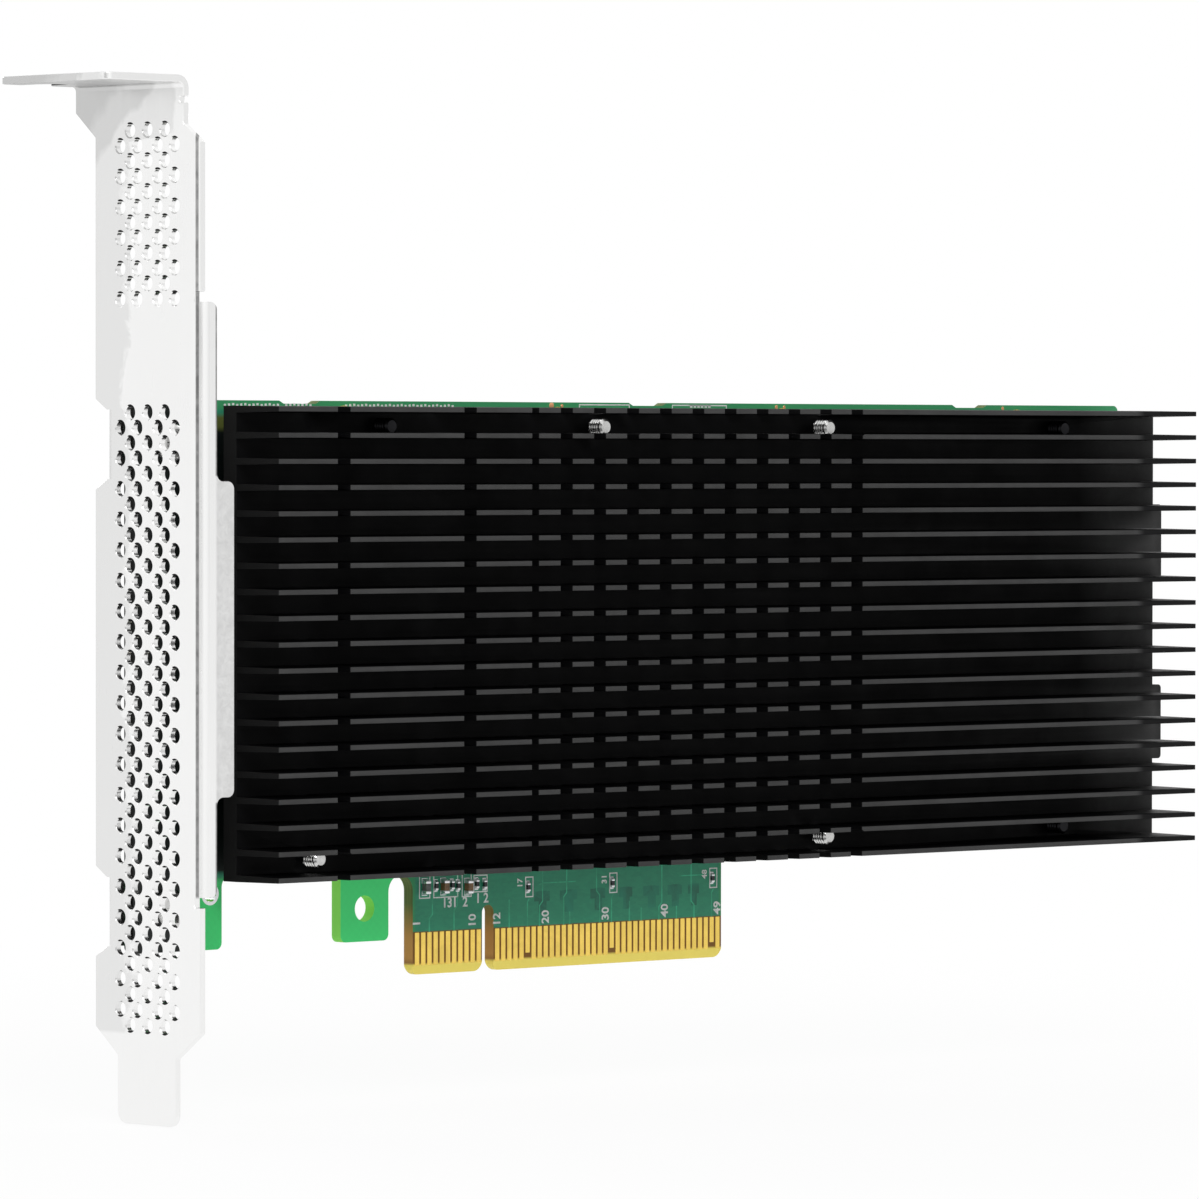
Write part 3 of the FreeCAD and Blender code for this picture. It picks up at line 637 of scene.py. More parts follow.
def parts_of(faces):
    """Faces with their edges and corners."""
    return faces + list({e for f in faces for e in f.edges}) + list({v for f in faces for v in f.verts})


def edges_and_corners(made):
    return [[g for g in made if isinstance(g, kind)] for kind in (bmesh.types.BMEdge, bmesh.types.BMVert)]


@contextmanager
def set_down(bm, matrix=None, index=0, turn_out=True):
    """Turns what is modelled within outward, sets it down by a matrix and gives it its material."""
    before = set(bm.faces)
    yield
    faces = [f for f in bm.faces if f not in before]
    if turn_out:
        bmesh.ops.recalc_face_normals(bm, faces=faces)
    if matrix is not None:
        bmesh.ops.transform(bm, matrix=matrix, verts=list({v for f in faces for v in f.verts}))
    material_of(faces, index)


def draw_out(bm, loop, radius, height, profile):
    """Carry a round loop about Z through a profile of (radius, height), and return the last loop."""
    for next_radius, next_height in profile:
        loop, ring = edges_and_corners(bmesh.ops.extrude_edge_only(bm, edges=loop)["geom"])
        factor = next_radius / radius
        bmesh.ops.scale(bm, vec=(factor, factor, 1.0), verts=ring)
        bmesh.ops.translate(bm, vec=(0, 0, next_height - height), verts=ring)
        radius, height = next_radius, next_height
    return loop


def add_block(bm, low, high, index=0, bevel=0.0, segments=2):
    """A box between two corners, its edges broken by bevel."""
    with set_down(bm, index=index, turn_out=False):
        corners = bmesh.ops.create_cube(bm, size=1.0)["verts"]
        size = Vector(high) - Vector(low)
        bmesh.ops.scale(bm, vec=size, verts=corners)
        bmesh.ops.translate(bm, vec=Vector(low) + size / 2, verts=corners)
        if bevel:
            break_edges(bm, list({e for v in corners for e in v.link_edges}), bevel, segments, clamp=True)


def add_dash(bm, matrix, width, height, thickness=PRINT_THICKNESS, index=0):
    """A thin plate standing on Z = 0."""
    with set_down(bm, matrix, index, turn_out=False):
        add_block(bm, (-width / 2, -height / 2, 0.0), (width / 2, height / 2, thickness))


def add_turned(bm, matrix, rings, sides=24, closed_start=True):
    """A turned shape: rings of (radius, height) joined one after another about Z."""
    with set_down(bm, matrix):
        start = bmesh.ops.create_circle(bm, segments=sides, radius=rings[0][0], cap_ends=closed_start,
                                        matrix=Matrix.Translation((0, 0, rings[0][1])))["verts"]
        loop = draw_out(bm, list({e for v in start for e in v.link_edges}), *rings[0], rings[1:])
        bmesh.ops.contextual_create(bm, geom=loop)


def add_ring(bm, matrix, outer, inner, thickness, sides=28, index=0):
    """A flat ring standing on Z = 0."""
    with set_down(bm, matrix, index):
        start = bmesh.ops.create_circle(bm, segments=sides, radius=inner)["verts"]
        first = list({e for v in start for e in v.link_edges})
        last = draw_out(bm, first, inner, 0.0, [(outer, 0.0), (outer, thickness), (inner, thickness)])
        bmesh.ops.bridge_loops(bm, edges=first + last)


def add_frame(bm, matrix, width, height, line=0.14):
    """A printed outline: a plate with its middle taken out."""
    with set_down(bm, matrix):
        before = set(bm.faces)
        corners = bmesh.ops.create_grid(bm, x_segments=1, y_segments=1, size=0.5)["verts"]
        bmesh.ops.scale(bm, vec=(width, height, 1.0), verts=corners)
        middle = [f for f in bm.faces if f not in before]
        bmesh.ops.inset_region(bm, faces=middle, thickness=line, use_boundary=True, use_even_offset=True)
        bmesh.ops.delete(bm, geom=middle, context="FACES")
        flat = [f for f in bm.faces if f not in before]
        raised = edges_and_corners(bmesh.ops.extrude_face_region(bm, geom=flat)["geom"])[1]
        bmesh.ops.translate(bm, vec=(0, 0, PRINT_THICKNESS), verts=raised)


def add_curve(bm, curve, matrix):
    """A curve or printed figures, turned to a mesh and set down by a matrix."""
    holder = bpy.data.objects.new(curve.name, curve)
    bpy.context.scene.collection.objects.link(holder)
    bpy.context.view_layer.update()
    mesh = bpy.data.meshes.new_from_object(holder.evaluated_get(bpy.context.evaluated_depsgraph_get()))
    mesh.transform(matrix)
    bm.from_mesh(mesh)
    bpy.data.objects.remove(holder)
    bpy.data.curves.remove(curve)
    bpy.data.meshes.remove(mesh)


def add_figures(bm, words, matrix, height):
    """Printed figures of a given height."""
    curve = bpy.data.curves.new("figures", "FONT")
    curve.body = words
    curve.size = height * CAP_TO_SIZE
    curve.align_x = curve.align_y = "CENTER"
    curve.extrude = PRINT_THICKNESS / 2
    curve.offset = height * FIGURE_WEIGHT
    curve.resolution_u = 3
    add_curve(bm, curve, matrix @ Matrix.Translation((0, 0, PRINT_THICKNESS / 2)))


def add_route(bm, side, points, width):
    """A copper trace under the mask: a rounded run along a line of points, flattened onto the board."""
    curve = bpy.data.curves.new("route", "CURVE")
    curve.dimensions = "3D"
    curve.bevel_depth = width / 2
    curve.bevel_resolution = 1
    curve.use_fill_caps = True
    line = curve.splines.new("POLY")
    line.points.add(len(points) - 1)
    for point, (x, z) in zip(line.points, points):
        point.co = (x, z, 0.0, 1.0)
    add_curve(bm, curve, side @ Matrix.Scale(TRACE_FLATNESS, 4, (0, 0, 1)))


def facing_front(x, y, z):
    """Turns a shape that stands along Z to stand along -Y, and sets it down."""
    return Matrix.Translation((x, y, z)) @ TOWARDS_FRONT


def front_of(x, z):
    """Places a shape that stands on Z = 0 on the component face, facing out."""
    return facing_front(x, Y_FRONT, z)


def back_of(x, z):
    """The same on the solder face; its local X runs towards the bracket."""
    return Matrix.Translation((x, Y_BACK, z)) @ Matrix.Rotation(math.pi, 4, "Z") @ TOWARDS_FRONT


# ---- bracket ------------------------------------------------------------------------------------
VENT_MIDDLE = -5.85
VENT_PITCH = 1.757
VENT_FIELDS = ((98.95, 12), (66.65, 41))
VENT_THREE = (-3.05, 0.0, 3.05)
VENT_FOUR = (-4.78, -1.79, 1.79, 4.78)
VENT_CLEARANCE = 0.95
LOWEST_VENTS = 3.0


def vent_places():
    for top, rows in VENT_FIELDS:
        for row in range(rows):
            for offset in (VENT_FOUR if row % 2 else VENT_THREE):
                yield VENT_MIDDLE + offset, top - row * VENT_PITCH


def on_face(item, x):
    """Whether a face or an edge of the bracket lies in the plane of its front or its back."""
    return all(abs(v.co.x - x) < 0.004 for v in item.verts)


def without_vents(bm):
    """Take the vents out of the bracket, so that its front and its back are one face each."""
    x_front, x_back = BRACKET_X, BRACKET_X + SHEET
    places = list(vent_places())
    inside = {v for v in bm.verts for y, z in places if v.co.x < x_back + 0.01
              and abs(v.co.z - z) < VENT_CLEARANCE and math.hypot(v.co.y - y, v.co.z - z) < VENT_CLEARANCE}
    old = [f for f in bm.faces if on_face(f, x_front) or on_face(f, x_back) or all(v in inside for v in f.verts)]
    bmesh.ops.delete(bm, geom=old, context="FACES")
    for x in (x_front, x_back):
        bmesh.ops.edgeloop_fill(bm, edges=[e for e in bm.edges if e.is_boundary and on_face(e, x)])
    bmesh.ops.recalc_face_normals(bm, faces=bm.faces)


def burred(face, owner):
    """Whether a face of a vent's rim gets painted shade: the upper part, or the lower near the tongue."""
    y, z = owner[face.verts[0]]
    middle = face.calc_center_median()
    arm = Vector((middle.y - y + 0.12, middle.z - z)).normalized()
    return arm.y * (1.0 if z > LOWEST_VENTS else -1.0) > 0.78


def punch_vents(bm, radius, edge=0.13, sides=24):
    """Punch round vents with broken rims through the front and the back of the sheet."""
    x_front, x_back = BRACKET_X, BRACKET_X + SHEET
    owner, loop = {}, []
    for y, z in vent_places():
        place = Matrix.Translation((x_front, y, z)) @ Matrix.Rotation(math.radians(90.0), 4, "Y")
        for v in bmesh.ops.create_circle(bm, segments=sides, radius=radius + edge, matrix=place)["verts"]:
            owner[v] = (y, z)
            loop += v.link_edges
    loop = front_rims = list(set(loop))
    for depth, size in ((edge, radius), (SHEET - edge, radius), (SHEET, radius + edge)):
        loop, ring = edges_and_corners(bmesh.ops.extrude_edge_only(bm, edges=loop)["geom"])
        around = set(loop)
        for v in ring:
            owner[v] = y, z = next(owner[e.other_vert(v)] for e in v.link_edges if e not in around)
            arm = Vector((0.0, v.co.y - y, v.co.z - z)).normalized() * size
            v.co = Vector((x_front + depth, y, z)) + arm
    # painted shade on the upper rims of the vents, and on the lower ones near the tongue
    material_of([f for f in {f for v in owner for f in v.link_faces} if burred(f, owner)], 1)
    for x, rims, way in ((x_front, front_rims, -1.0), (x_back, loop, 1.0)):
        sheet = max((f for f in bm.faces if on_face(f, x)), key=lambda f: f.calc_area())
        outline = list(sheet.edges)
        bmesh.ops.delete(bm, geom=[sheet], context="FACES_ONLY")
        bmesh.ops.triangle_fill(bm, edges=outline + rims, normal=(way, 0.0, 0.0), use_beauty=True)
    bmesh.ops.recalc_face_normals(bm, faces=bm.faces)


def beside_bend(edge):
    """Whether an edge lies in the narrow end of a bend, which stays crisp."""
    one, other = (v.co for v in edge.verts)
    middle = (one + other) / 2
    if abs(one.z - other.z) > 0.02 or middle.x > BRACKET_X + 1.55:
        return False
    at_flange = middle.y < -13.0 and any(abs(middle.z - z) < 0.02 for z in FLANGE_ENDS)
    at_ear = 0.3 < middle.y < 4.0 and any(abs(middle.z - z) < 0.02 for z in EAR_ENDS)
    return at_flange or at_ear


def in_tab_notch(face):
    """Whether a face is part of the cut wall of the screw notch in the tab."""
    middle = face.calc_center_median()
    along_tab = BRACKET_X - 8.3 < middle.x < BRACKET_X - 3.5
    across_tab = bracket_high.y - 4.95 < middle.y < bracket_high.y - 0.1
    return along_tab and across_tab and abs(face.normal.z) < 0.2 and middle.z > bracket_high.z - SHEET


class CARD_OT_bracket(bpy.types.Operator):
    """Replace the bracket with a sheet that has round vents and broken edges"""
    bl_idname = "card.bracket"
    bl_label = "Bracket"

    def execute(self, context):
        sizes = context.scene.card_sizes
        bm = merged_copy("bracket")
        without_vents(bm)
        soften(bm, sizes.edge_softness, keep=lambda e: not beside_bend(e))
        punch_vents(bm, sizes.vent_radius)
        # painted shade on the wall of the screw notch in the tab
        material_of([f for f in bm.faces if in_tab_notch(f)], 1)
        make_piece(bm, "bracket_sheet", "plated_steel", "nickel", "burr", node="bracket", sharp=25.0, level=True)
        return {"FINISHED"}


# ---- heat sink ----------------------------------------------------------------------------------
class CARD_OT_heat_sink(bpy.types.Operator):
    """Replace the heat sink with one whose fins have broken edges"""
    bl_idname = "card.heat_sink"
    bl_label = "Heat Sink"

    def execute(self, context):
        bm = merged_copy("heat_sink", whole_faces=False)
        # a round drill passes beside the next fin without the nick that a six-sided bore leaves in its tip
        for v in (v for v in bm.verts if v.co.y < FIN_FRONT + 0.01):
            for x, level in SINK_SCREWS:
                if abs(v.co.x - x) < 0.05 and 1.0 < abs(v.co.z - level) < 1.15:
                    v.co.z = level + math.copysign(0.785, v.co.z - level)
        soften(bm, context.scene.card_sizes.fin_softness,
               keep=lambda e: all(v.co.y < FIN_FRONT + 0.01 for v in e.verts))
        make_piece(bm, "finned_heat_sink", "black_anodised", "sink", node="heat_sink", sharp=25.0)
        for node in ("upper_thermal_pad", "lower_thermal_pad"):
            soften_node(node, "_sheet", "pad_grey", "pad", 0.12)
        return {"FINISHED"}


# ---- board, contacts and print ------------------------------------------------------------------
FINGER_PITCH = 1.0
KEY_TO_FINGER = 1.5
FINGERS_BEFORE_KEY = 11
PRESENCE_FINGERS = (17, 31, 48)
MARKED_FINGERS = (1, 10, 12, 20, 30, 40, 49)
TOP_LANDS = ((10.4, 0.4), (12.15, 0.22), (48.6, 0.26), (50.0, 0.22), (89.2, 0.24))
TOP_LANDS_LEVEL = 67.72
# rings: outer radius, inner radius and thickness
SCREW_RING = (2.45, 1.15, 0.03)
FOOT_RING = (1.32, 0.93, 0.03)
FOOT_BARREL = (1.04, 0.93, Y_BACK - Y_FRONT)
PRINTED_SCREW_RING = (3.15, 2.95, PRINT_THICKNESS)
PRINTED_POST_RING = (3.0, 2.8, PRINT_THICKNESS)
SPACER = (1.6, 1.06, Y_FRONT - BASE_BACK)


def finger_x(number):
    """Middle of a contact, numbered from the bracket's end of the tongue."""
    if number <= FINGERS_BEFORE_KEY:
        return -KEY_TO_FINGER - (FINGERS_BEFORE_KEY - number) * FINGER_PITCH
    return KEY_TO_FINGER + (number - FINGERS_BEFORE_KEY - 1) * FINGER_PITCH


def trim_rings(bm):
    """Rings stop where the board does."""
    for edge, up in ((board_high.z - 0.05, 1.0), (BODY_BOTTOM + 0.05, -1.0)):
        near = [f for f in bm.faces if f.calc_center_median().z * up > (edge - 5.0 * up) * up
                and abs(f.calc_center_median().x - FOOT_HOLE[0]) > 3.0]
        cut = bmesh.ops.bisect_plane(bm, geom=parts_of(near), plane_co=(0, 0, edge), plane_no=(0, 0, up),
                                     clear_outer=True)
        bmesh.ops.holes_fill(bm, edges=edges_and_corners(cut["geom_cut"])[0], sides=8)


class CARD_OT_board(bpy.types.Operator):
    """Finish the board and its gold contacts"""
    bl_idname = "card.board"
    bl_label = "Board and Contacts"

    def execute(self, context):
        dress_node("circuit_board", "board")
        for node in ("front_contacts", "back_contacts"):
            soften_node(node, "_plating", "contact_gold", "gold", 0.06, weighted=False,
                        keep=lambda e: abs(e.verts[0].co.y - e.verts[1].co.y) > 0.02)
        rings = bmesh.new()
        for side in (front_of, back_of):
            for x, z in SINK_SCREWS:
                add_ring(rings, side(x, z), *SCREW_RING)
            add_ring(rings, side(*FOOT_HOLE), *FOOT_RING, index=1)
        add_ring(rings, facing_front(FOOT_HOLE[0], Y_BACK, FOOT_HOLE[1]), *FOOT_BARREL, index=1)
        trim_rings(rings)
        make_piece(rings, "plated_rings", "contact_gold", "gold", "tin")
        lands = bmesh.new()
        for x, radius in TOP_LANDS:
            profile = [(radius, 0.0), (radius * 0.9, 0.02), (radius * 0.3, 0.021)]
            add_turned(lands, front_of(x, TOP_LANDS_LEVEL), profile, sides=20, closed_start=False)
        make_piece(lands, "top_lands", "contact_gold", "copper")
        return {"FINISHED"}


EDGE_OUTLINES = ((-10.25, 10.45, 1.8, 2.9), (-6.85, 10.45, 4.0, 2.9), (-3.45, 10.4, 1.6, 2.9), (-1.2, 10.5, 2.3, 2.1))
EDGE_FIGURES = (("131", -6.2, 8.35), ("2", -3.7, 8.35), ("1", -1.6, 8.7), ("2", -0.3, 8.7))
TICK_ROWS = ((-41.7, 14), (-32.2, 7), (-22.8, 28))
TICK_PITCH = 0.63
TICK_LEVEL = 67.6
TICK = (0.34, 0.26)
TOP_OUTLINES = ((19.2, 8.5), (35.3, 9.4))
NUMBER_LEVEL = 6.1
DRIVE_OUTLINE = (32.0, 76.0, 21.6)
SOCKET_OUTLINE = (-6.25, 8.9, 21.9)


class CARD_OT_print(bpy.types.Operator):
    """Print the outlines and plain numbers on both faces of the board"""
    bl_idname = "card.print"
    bl_label = "Printed Legend"

    def execute(self, context):
        size = context.scene.card_sizes.number_height
        bm = bmesh.new()
        for x, z in SINK_SCREWS:
            add_ring(bm, back_of(x, z), *PRINTED_SCREW_RING, sides=48)
        trim_rings(bm)
        for number in MARKED_FINGERS:
            for side in (front_of, back_of):
                add_figures(bm, str(number), side(finger_x(number), NUMBER_LEVEL) @ UPRIGHT, size)
        for x, z, width, height in EDGE_OUTLINES:
            add_frame(bm, front_of(x, z), width, height)
        for number in PRESENCE_FINGERS:
            add_frame(bm, front_of(finger_x(number) + 0.3, 9.8), 1.35, 2.5)
            add_figures(bm, str(number), front_of(finger_x(number) - 1.2, 10.3) @ UPRIGHT, size * 0.7)
        for words, x, z in EDGE_FIGURES:
            add_figures(bm, words, front_of(x, z), size)
        for first, count in TICK_ROWS:
            for k in range(count):
                add_dash(bm, front_of(first + k * TICK_PITCH, TICK_LEVEL + 0.05 * (k % 3)), *TICK)
        for x, width in TOP_OUTLINES:
            add_frame(bm, front_of(x, 67.2), width, 1.5, line=0.15)
        for k in range(6):
            add_dash(bm, front_of(33.9 + k * 0.62, 67.75), 0.42, 0.3)
        # on the solder side, rings and lengths at the posts and outlines behind the drives and sockets
        for z in DRIVE_LEVELS:
            for x, words in zip(POST_REACHES, DRIVE_LENGTHS):
                add_ring(bm, back_of(x, z), *PRINTED_POST_RING, sides=40)
                add_figures(bm, words, back_of(x, z + 4.2), size * 1.3)
            for x, width, height in (DRIVE_OUTLINE, SOCKET_OUTLINE):
                add_frame(bm, back_of(x, z), width, height, line=0.16)
        make_piece(bm, "board_legend", "green_mask", "ink", sharp=30.0)
        return {"FINISHED"}


# ---- traces and vias ----------------------------------------------------------------------------
ROUTED_FINGERS = (3, 7, 14, 19, 23, 24, 29, 34, 36, 39, 42, 45)
STRAND_GAP = 0.42
PLANE_GAPS = ((8.9, 2.6), (13.3, 2.9), (18.2, 2.5), (22.9, 2.2), (27.2, 2.7), (31.2, 2.4), (34.4, 1.9))


VIA_PITCH = 4.0
VIA_ROWS = ((front_of, -53.0, 41, 62.3), (front_of, 44.0, 17, 17.5),
            (back_of, -53.0, 41, 66.9), (back_of, 44.0, 17, 14.2))
PLANE_VIA_LEVELS = (20.5, 39.2, 58.5)


def front_routes(width):
    """Short escapes from the contacts towards the sockets."""
    start = FINGER_TOP - 0.1
    for number in PRESENCE_FINGERS:
        x = finger_x(number)
        yield [(x, start), (x, 8.0), (x + 0.3, 8.4)], width * 0.8
    yield [(8.4, 10.0), (9.1, 10.2), (14.5, 10.2)], width * 0.7
    yield [(32.0, 10.25), (36.2, 10.25)], width * 0.7
    for number in ROUTED_FINGERS:
        x = finger_x(number)
        lean = -0.5 if number % 4 < 2 else 0.5
        rise = 6.6 + 0.9 * (number % 3)
        onward = [(x + lean, rise + abs(lean)), (x + lean, 15.5)] if number % 2 else []
        yield [(x, start), (x, rise)] + onward, width


def back_routes(width):
    """Paired runs from the contacts to the rear of the drive sockets."""
    start = FINGER_TOP - 0.1
    for pair in range(16):
        upper, order = pair % 2 == 0, pair // 2
        goal_z = DRIVE_LEVELS[pair % 2] + 7.5 - order * 2.1
        column = -12.2 - 1.3 * order if upper else 14.0 + 1.3 * order
        for strand in (0, 1):
            x = finger_x(14 + pair * 2 + strand)
            lane = column + strand * STRAND_GAP
            low = 9.5 + order * 1.25 + strand * STRAND_GAP
            if upper:
                yield [(x, start), (x, 6.6 + order * 0.2), (x, low), (x - 3.0, low + 3.0),
                       (lane + 3.0, low + 3.0), (lane, low + 6.0), (lane, goal_z - 2.5),
                       (lane + 2.0, goal_z - 0.5 + strand * STRAND_GAP)], width
            else:
                jog = 1.6 if x < lane else -1.6
                yield [(x, start), (x, low), (x + jog, low + 1.6), (lane - jog, low + 1.6), (lane, low + 3.2),
                       (lane, goal_z - 1.0)], width


def add_via(bm, matrix, radius=0.3):
    add_turned(bm, matrix, [(radius, 0.0), (radius * 0.92, 0.025), (radius * 0.5, 0.03), (radius * 0.42, 0.008)],
               sides=10, closed_start=False)


class CARD_OT_traces(bpy.types.Operator):
    """Lay the traces and vias of both faces"""
    bl_idname = "card.traces"
    bl_label = "Traces and Vias"

    def execute(self, context):
        width = context.scene.card_sizes.trace_width
        bm = bmesh.new()
        for routes, y in ((front_routes, Y_FRONT), (back_routes, Y_BACK)):
            for points, wide in routes(width):
                add_route(bm, facing_front(0, y, 0), points, wide)
        for x, across in PLANE_GAPS:
            add_dash(bm, front_of(x, 8.6), across, 1.2, 0.004, 1)
            add_dash(bm, front_of(x + 0.1, 7.9), across * 0.5, 2.7, 0.006, 1)
        make_piece(bm, "board_traces", "green_mask", "trace", "gap", sharp=50.0)
        vias = bmesh.new()
        for side, first, count, z in VIA_ROWS:
            for k in range(count):
                add_via(vias, side(first + k * VIA_PITCH, z))
        for z in PLANE_VIA_LEVELS:
            for k in range(13):
                add_via(vias, back_of(3.0 + k * 2 * VIA_PITCH, z))
        make_piece(vias, "board_vias", "contact_gold", "tin", sharp=50.0)
        return {"FINISHED"}


# ---- small parts --------------------------------------------------------------------------------
CHIP_0603 = (0.8, 1.6, 0.8)
CHIP_0402 = (0.5, 1.0, 0.35)
EDGE_CAPACITORS = ((-7.3, 10.35), (-3.45, 10.2))
GREY_CAPACITOR = (-10.3, 10.4)
EDGE_RESISTORS = ((-8.5, 10.5), (-5.9, 10.5), (-4.95, 10.4), (-1.9, 10.5), (-0.6, 10.4))


def add_chip(bm, x, z, width, height, thickness):
    """A two-ended chip part standing upright: body, tinned ends, solder fillets and pads."""
    half_w, half_h = width / 2, height / 2
    cap = min(0.36, height * 0.24)
    start = set(bm.verts)
    add_block(bm, (-half_w + 0.01, -half_h + cap, 0.04), (half_w - 0.01, half_h - cap, thickness - 0.01), 0, 0.03, 1)

    def end_block(one, other, wider, bottom, top, bevel=0.0):
        low, high = sorted((one, other))
        add_block(bm, (-half_w - wider, low, bottom), (half_w + wider, high, top), 1, bevel)

    for end in (-1, 1):
        inner = end * (half_h - cap - 0.01)
        end_block(inner, end * half_h, 0.0, 0.03, thickness, 0.06)
        end_block(inner, end * (half_h + 0.24), 0.04, 0.0, 0.035)
        before_fillet = set(bm.verts)
        end_block(end * (half_h - 0.03), end * (half_h + 0.2), 0.0, 0.03, thickness * 0.62)
        for v in set(bm.verts) - before_fillet:
            if v.co.z > 0.1 and abs(v.co.y) > half_h:
                v.co.y = end * (half_h + 0.015)
    bmesh.ops.transform(bm, matrix=front_of(x, z), verts=list(set(bm.verts) - start))


class CARD_OT_chip_parts(bpy.types.Operator):
    """Model the ceramic capacitors and resistors with their soldered ends"""
    bl_idname = "card.chip_parts"
    bl_label = "Capacitors and Resistors"

    def execute(self, context):
        brown = [(*place, *CHIP_0603) for place in EDGE_CAPACITORS]
        brown += [(6.0 + k * 1.9, 13.9, *CHIP_0402) for k in range(16)]
        black = [(*place, *CHIP_0402) for place in EDGE_RESISTORS]
        black += [(finger_x(number), 9.8, *CHIP_0402) for number in PRESENCE_FINGERS]
        for chips, name, slot, key, node in (
                (brown, "brown_capacitors", "capacitor_tan", "ceramic", "ceramic_capacitors"),
                ([(*GREY_CAPACITOR, *CHIP_0603)], "grey_capacitor", "capacitor_tan", "grey_ceramic",
                 "ceramic_capacitors"),
                (black, "chip_resistors", "resistor_black", "glaze", "resistors")):
            bm = bmesh.new()
            for chip in chips:
                add_chip(bm, *chip)
            make_piece(bm, name, slot, key, "tin", node=node)
        return {"FINISHED"}


def add_pins(bm, low, high, count, step):
    """A row of equal blocks, each moved on by the same step."""
    for k in range(count):
        add_block(bm, Vector(low) + Vector(step) * k, Vector(high) + Vector(step) * k)


class CARD_OT_sockets(bpy.types.Operator):
    """Finish the drive sockets and give them their contacts"""
    bl_idname = "card.sockets"
    bl_label = "Drive Sockets"

    def execute(self, context):
        for node in ("upper_drive_socket", "lower_drive_socket"):
            soften_node(node, "_housing", "socket_black", "socket", 0.08,
                        keep=lambda e: all(v.co.y < Y_FRONT + 0.01 for v in e.verts))
        pins = bmesh.new()
        low, high = millimetres("upper_drive_socket")
        for middle in DRIVE_LEVELS:
            first = middle - 9.0
            for near, far, front, back in ((low.x - 0.9, low.x + 0.3, 0.16, 0.02),
                                           (high.x - 4.3, high.x - 0.5, 1.33, 1.14)):
                add_pins(pins, (near, Y_FRONT - front, first), (far, Y_FRONT - back, first + 0.22), 37, (0, 0, 0.5))
        make_piece(pins, "socket_contacts", "contact_gold", "gold")
        return {"FINISHED"}


POWER_PARTS = (("power_inductors", "inductor_grey", "ferrite", 0.25),
               ("voltage_regulators", "chip_black", "epoxy", 0.1),
               ("bulk_capacitors", "polymer_black", "case", 0.15),
               ("clock_buffer", "chip_black", "epoxy", 0.1))
CHIP_LEAD_WIDTH = 0.45
CHIP_LEAD_PITCH = 1.27
TERMINAL_SPANS = (("power_inductors", 6.6), ("bulk_capacitors", 7.3))


class CARD_OT_power_parts(bpy.types.Operator):
    """Finish the inductors, regulators, bulk capacitors and chips"""
    bl_idname = "card.power_parts"
    bl_label = "Power and Logic Parts"

    def execute(self, context):
        for node, slot, key, width in POWER_PARTS:
            soften_node(node, "_bodies", slot, key, width)
        dress_node("memory_chip", "epoxy")
        low, high = millimetres("memory_chip")
        leads = bmesh.new()
        first = (low.x + high.x) / 2 - 2.13
        for z in (low.z, high.z - 1.0):
            add_pins(leads, (first, Y_FRONT - 0.32, z - 0.01), (first + CHIP_LEAD_WIDTH, Y_FRONT, z + 1.01), 4,
                     (CHIP_LEAD_PITCH, 0, 0))
        for node, tall in TERMINAL_SPANS:
            low, high = millimetres(node)
            for bottom, top in ((low.z, low.z + tall), (high.z - tall, high.z)):
                for z in (bottom - 0.2, top - 0.9):
                    add_block(leads, (low.x + 0.9, Y_FRONT - 0.6, z), (high.x - 0.9, Y_FRONT, z + 1.1), 0, 0.08)
        make_piece(leads, "tinned_leads", "screw_steel", "tin")
        return {"FINISHED"}


# ---- screws, spacers and posts ------------------------------------------------------------------
def add_cross_head(bm, matrix, head, height, recess, arm, depth, sides=32):
    """A pan head with a cross recess: a divided disc, its cross pushed in, its rim drawn down over the head."""
    with set_down(bm, matrix):
        before = set(bm.faces)
        bmesh.ops.create_circle(bm, segments=sides, radius=recess, cap_ends=True,
                                matrix=Matrix.Translation((0, 0, height)))
        for axis in (Vector((1, 0, 0)), Vector((0, 1, 0))):
            for offset in (-arm, arm):
                disc = [f for f in bm.faces if f not in before]
                bmesh.ops.bisect_plane(bm, geom=parts_of(disc), plane_co=axis * offset, plane_no=axis)
        disc = [f for f in bm.faces if f not in before]
        rim = [e for e in {e for f in disc for e in f.edges} if e.is_boundary]
        arms = [f for f in disc if min(abs(f.calc_center_median().x), abs(f.calc_center_median().y)) < arm * 0.9]
        dome = [(recess * 1.12, height), (head * 0.86, height * 0.93), (head * 0.97, height * 0.74),
                (head, height * 0.52), (head, height * 0.08), (head * 0.96, 0.0), (head * 0.3, 0.0)]
        bmesh.ops.contextual_create(bm, geom=draw_out(bm, rim, recess, height, dome))
        floor = edges_and_corners(bmesh.ops.extrude_face_region(bm, geom=arms)["geom"])[1]
        bmesh.ops.delete(bm, geom=arms, context="FACES")
        bmesh.ops.translate(bm, vec=(0, 0, -depth), verts=floor)
        bmesh.ops.scale(bm, vec=(0.55, 0.55, 1.0), verts=floor)


def thread_rings(radius, start, end, pitch):
    """Rings of a threaded shank that ends in a chamfer, from start to the lower height end."""
    rings, level = [], start
    while level - pitch > end + 0.25:
        rings += [(radius, level), (radius, level - pitch * 0.2), (radius * 0.86, level - pitch * 0.5),
                  (radius * 0.86, level - pitch * 0.6)]
        level -= pitch
    return rings + [(radius, level), (radius, end + 0.22), (radius * 0.72, end)]


def add_screw(bm, x, z, seat, tip, radius, head, height, pitch):
    """A pan-head screw along Y: its head outside seat, its threaded shank running to tip."""
    turn = math.copysign(math.radians(90.0), tip - seat)
    place = Matrix.Translation((x, seat, z)) @ Matrix.Rotation(turn, 4, "X")
    add_cross_head(bm, place, head, height, head * 0.62, head * 0.13, height * 0.62)
    add_turned(bm, place, [(radius * 0.98, 0.02)] + thread_rings(radius, -0.05, -abs(seat - tip), pitch), sides=20)


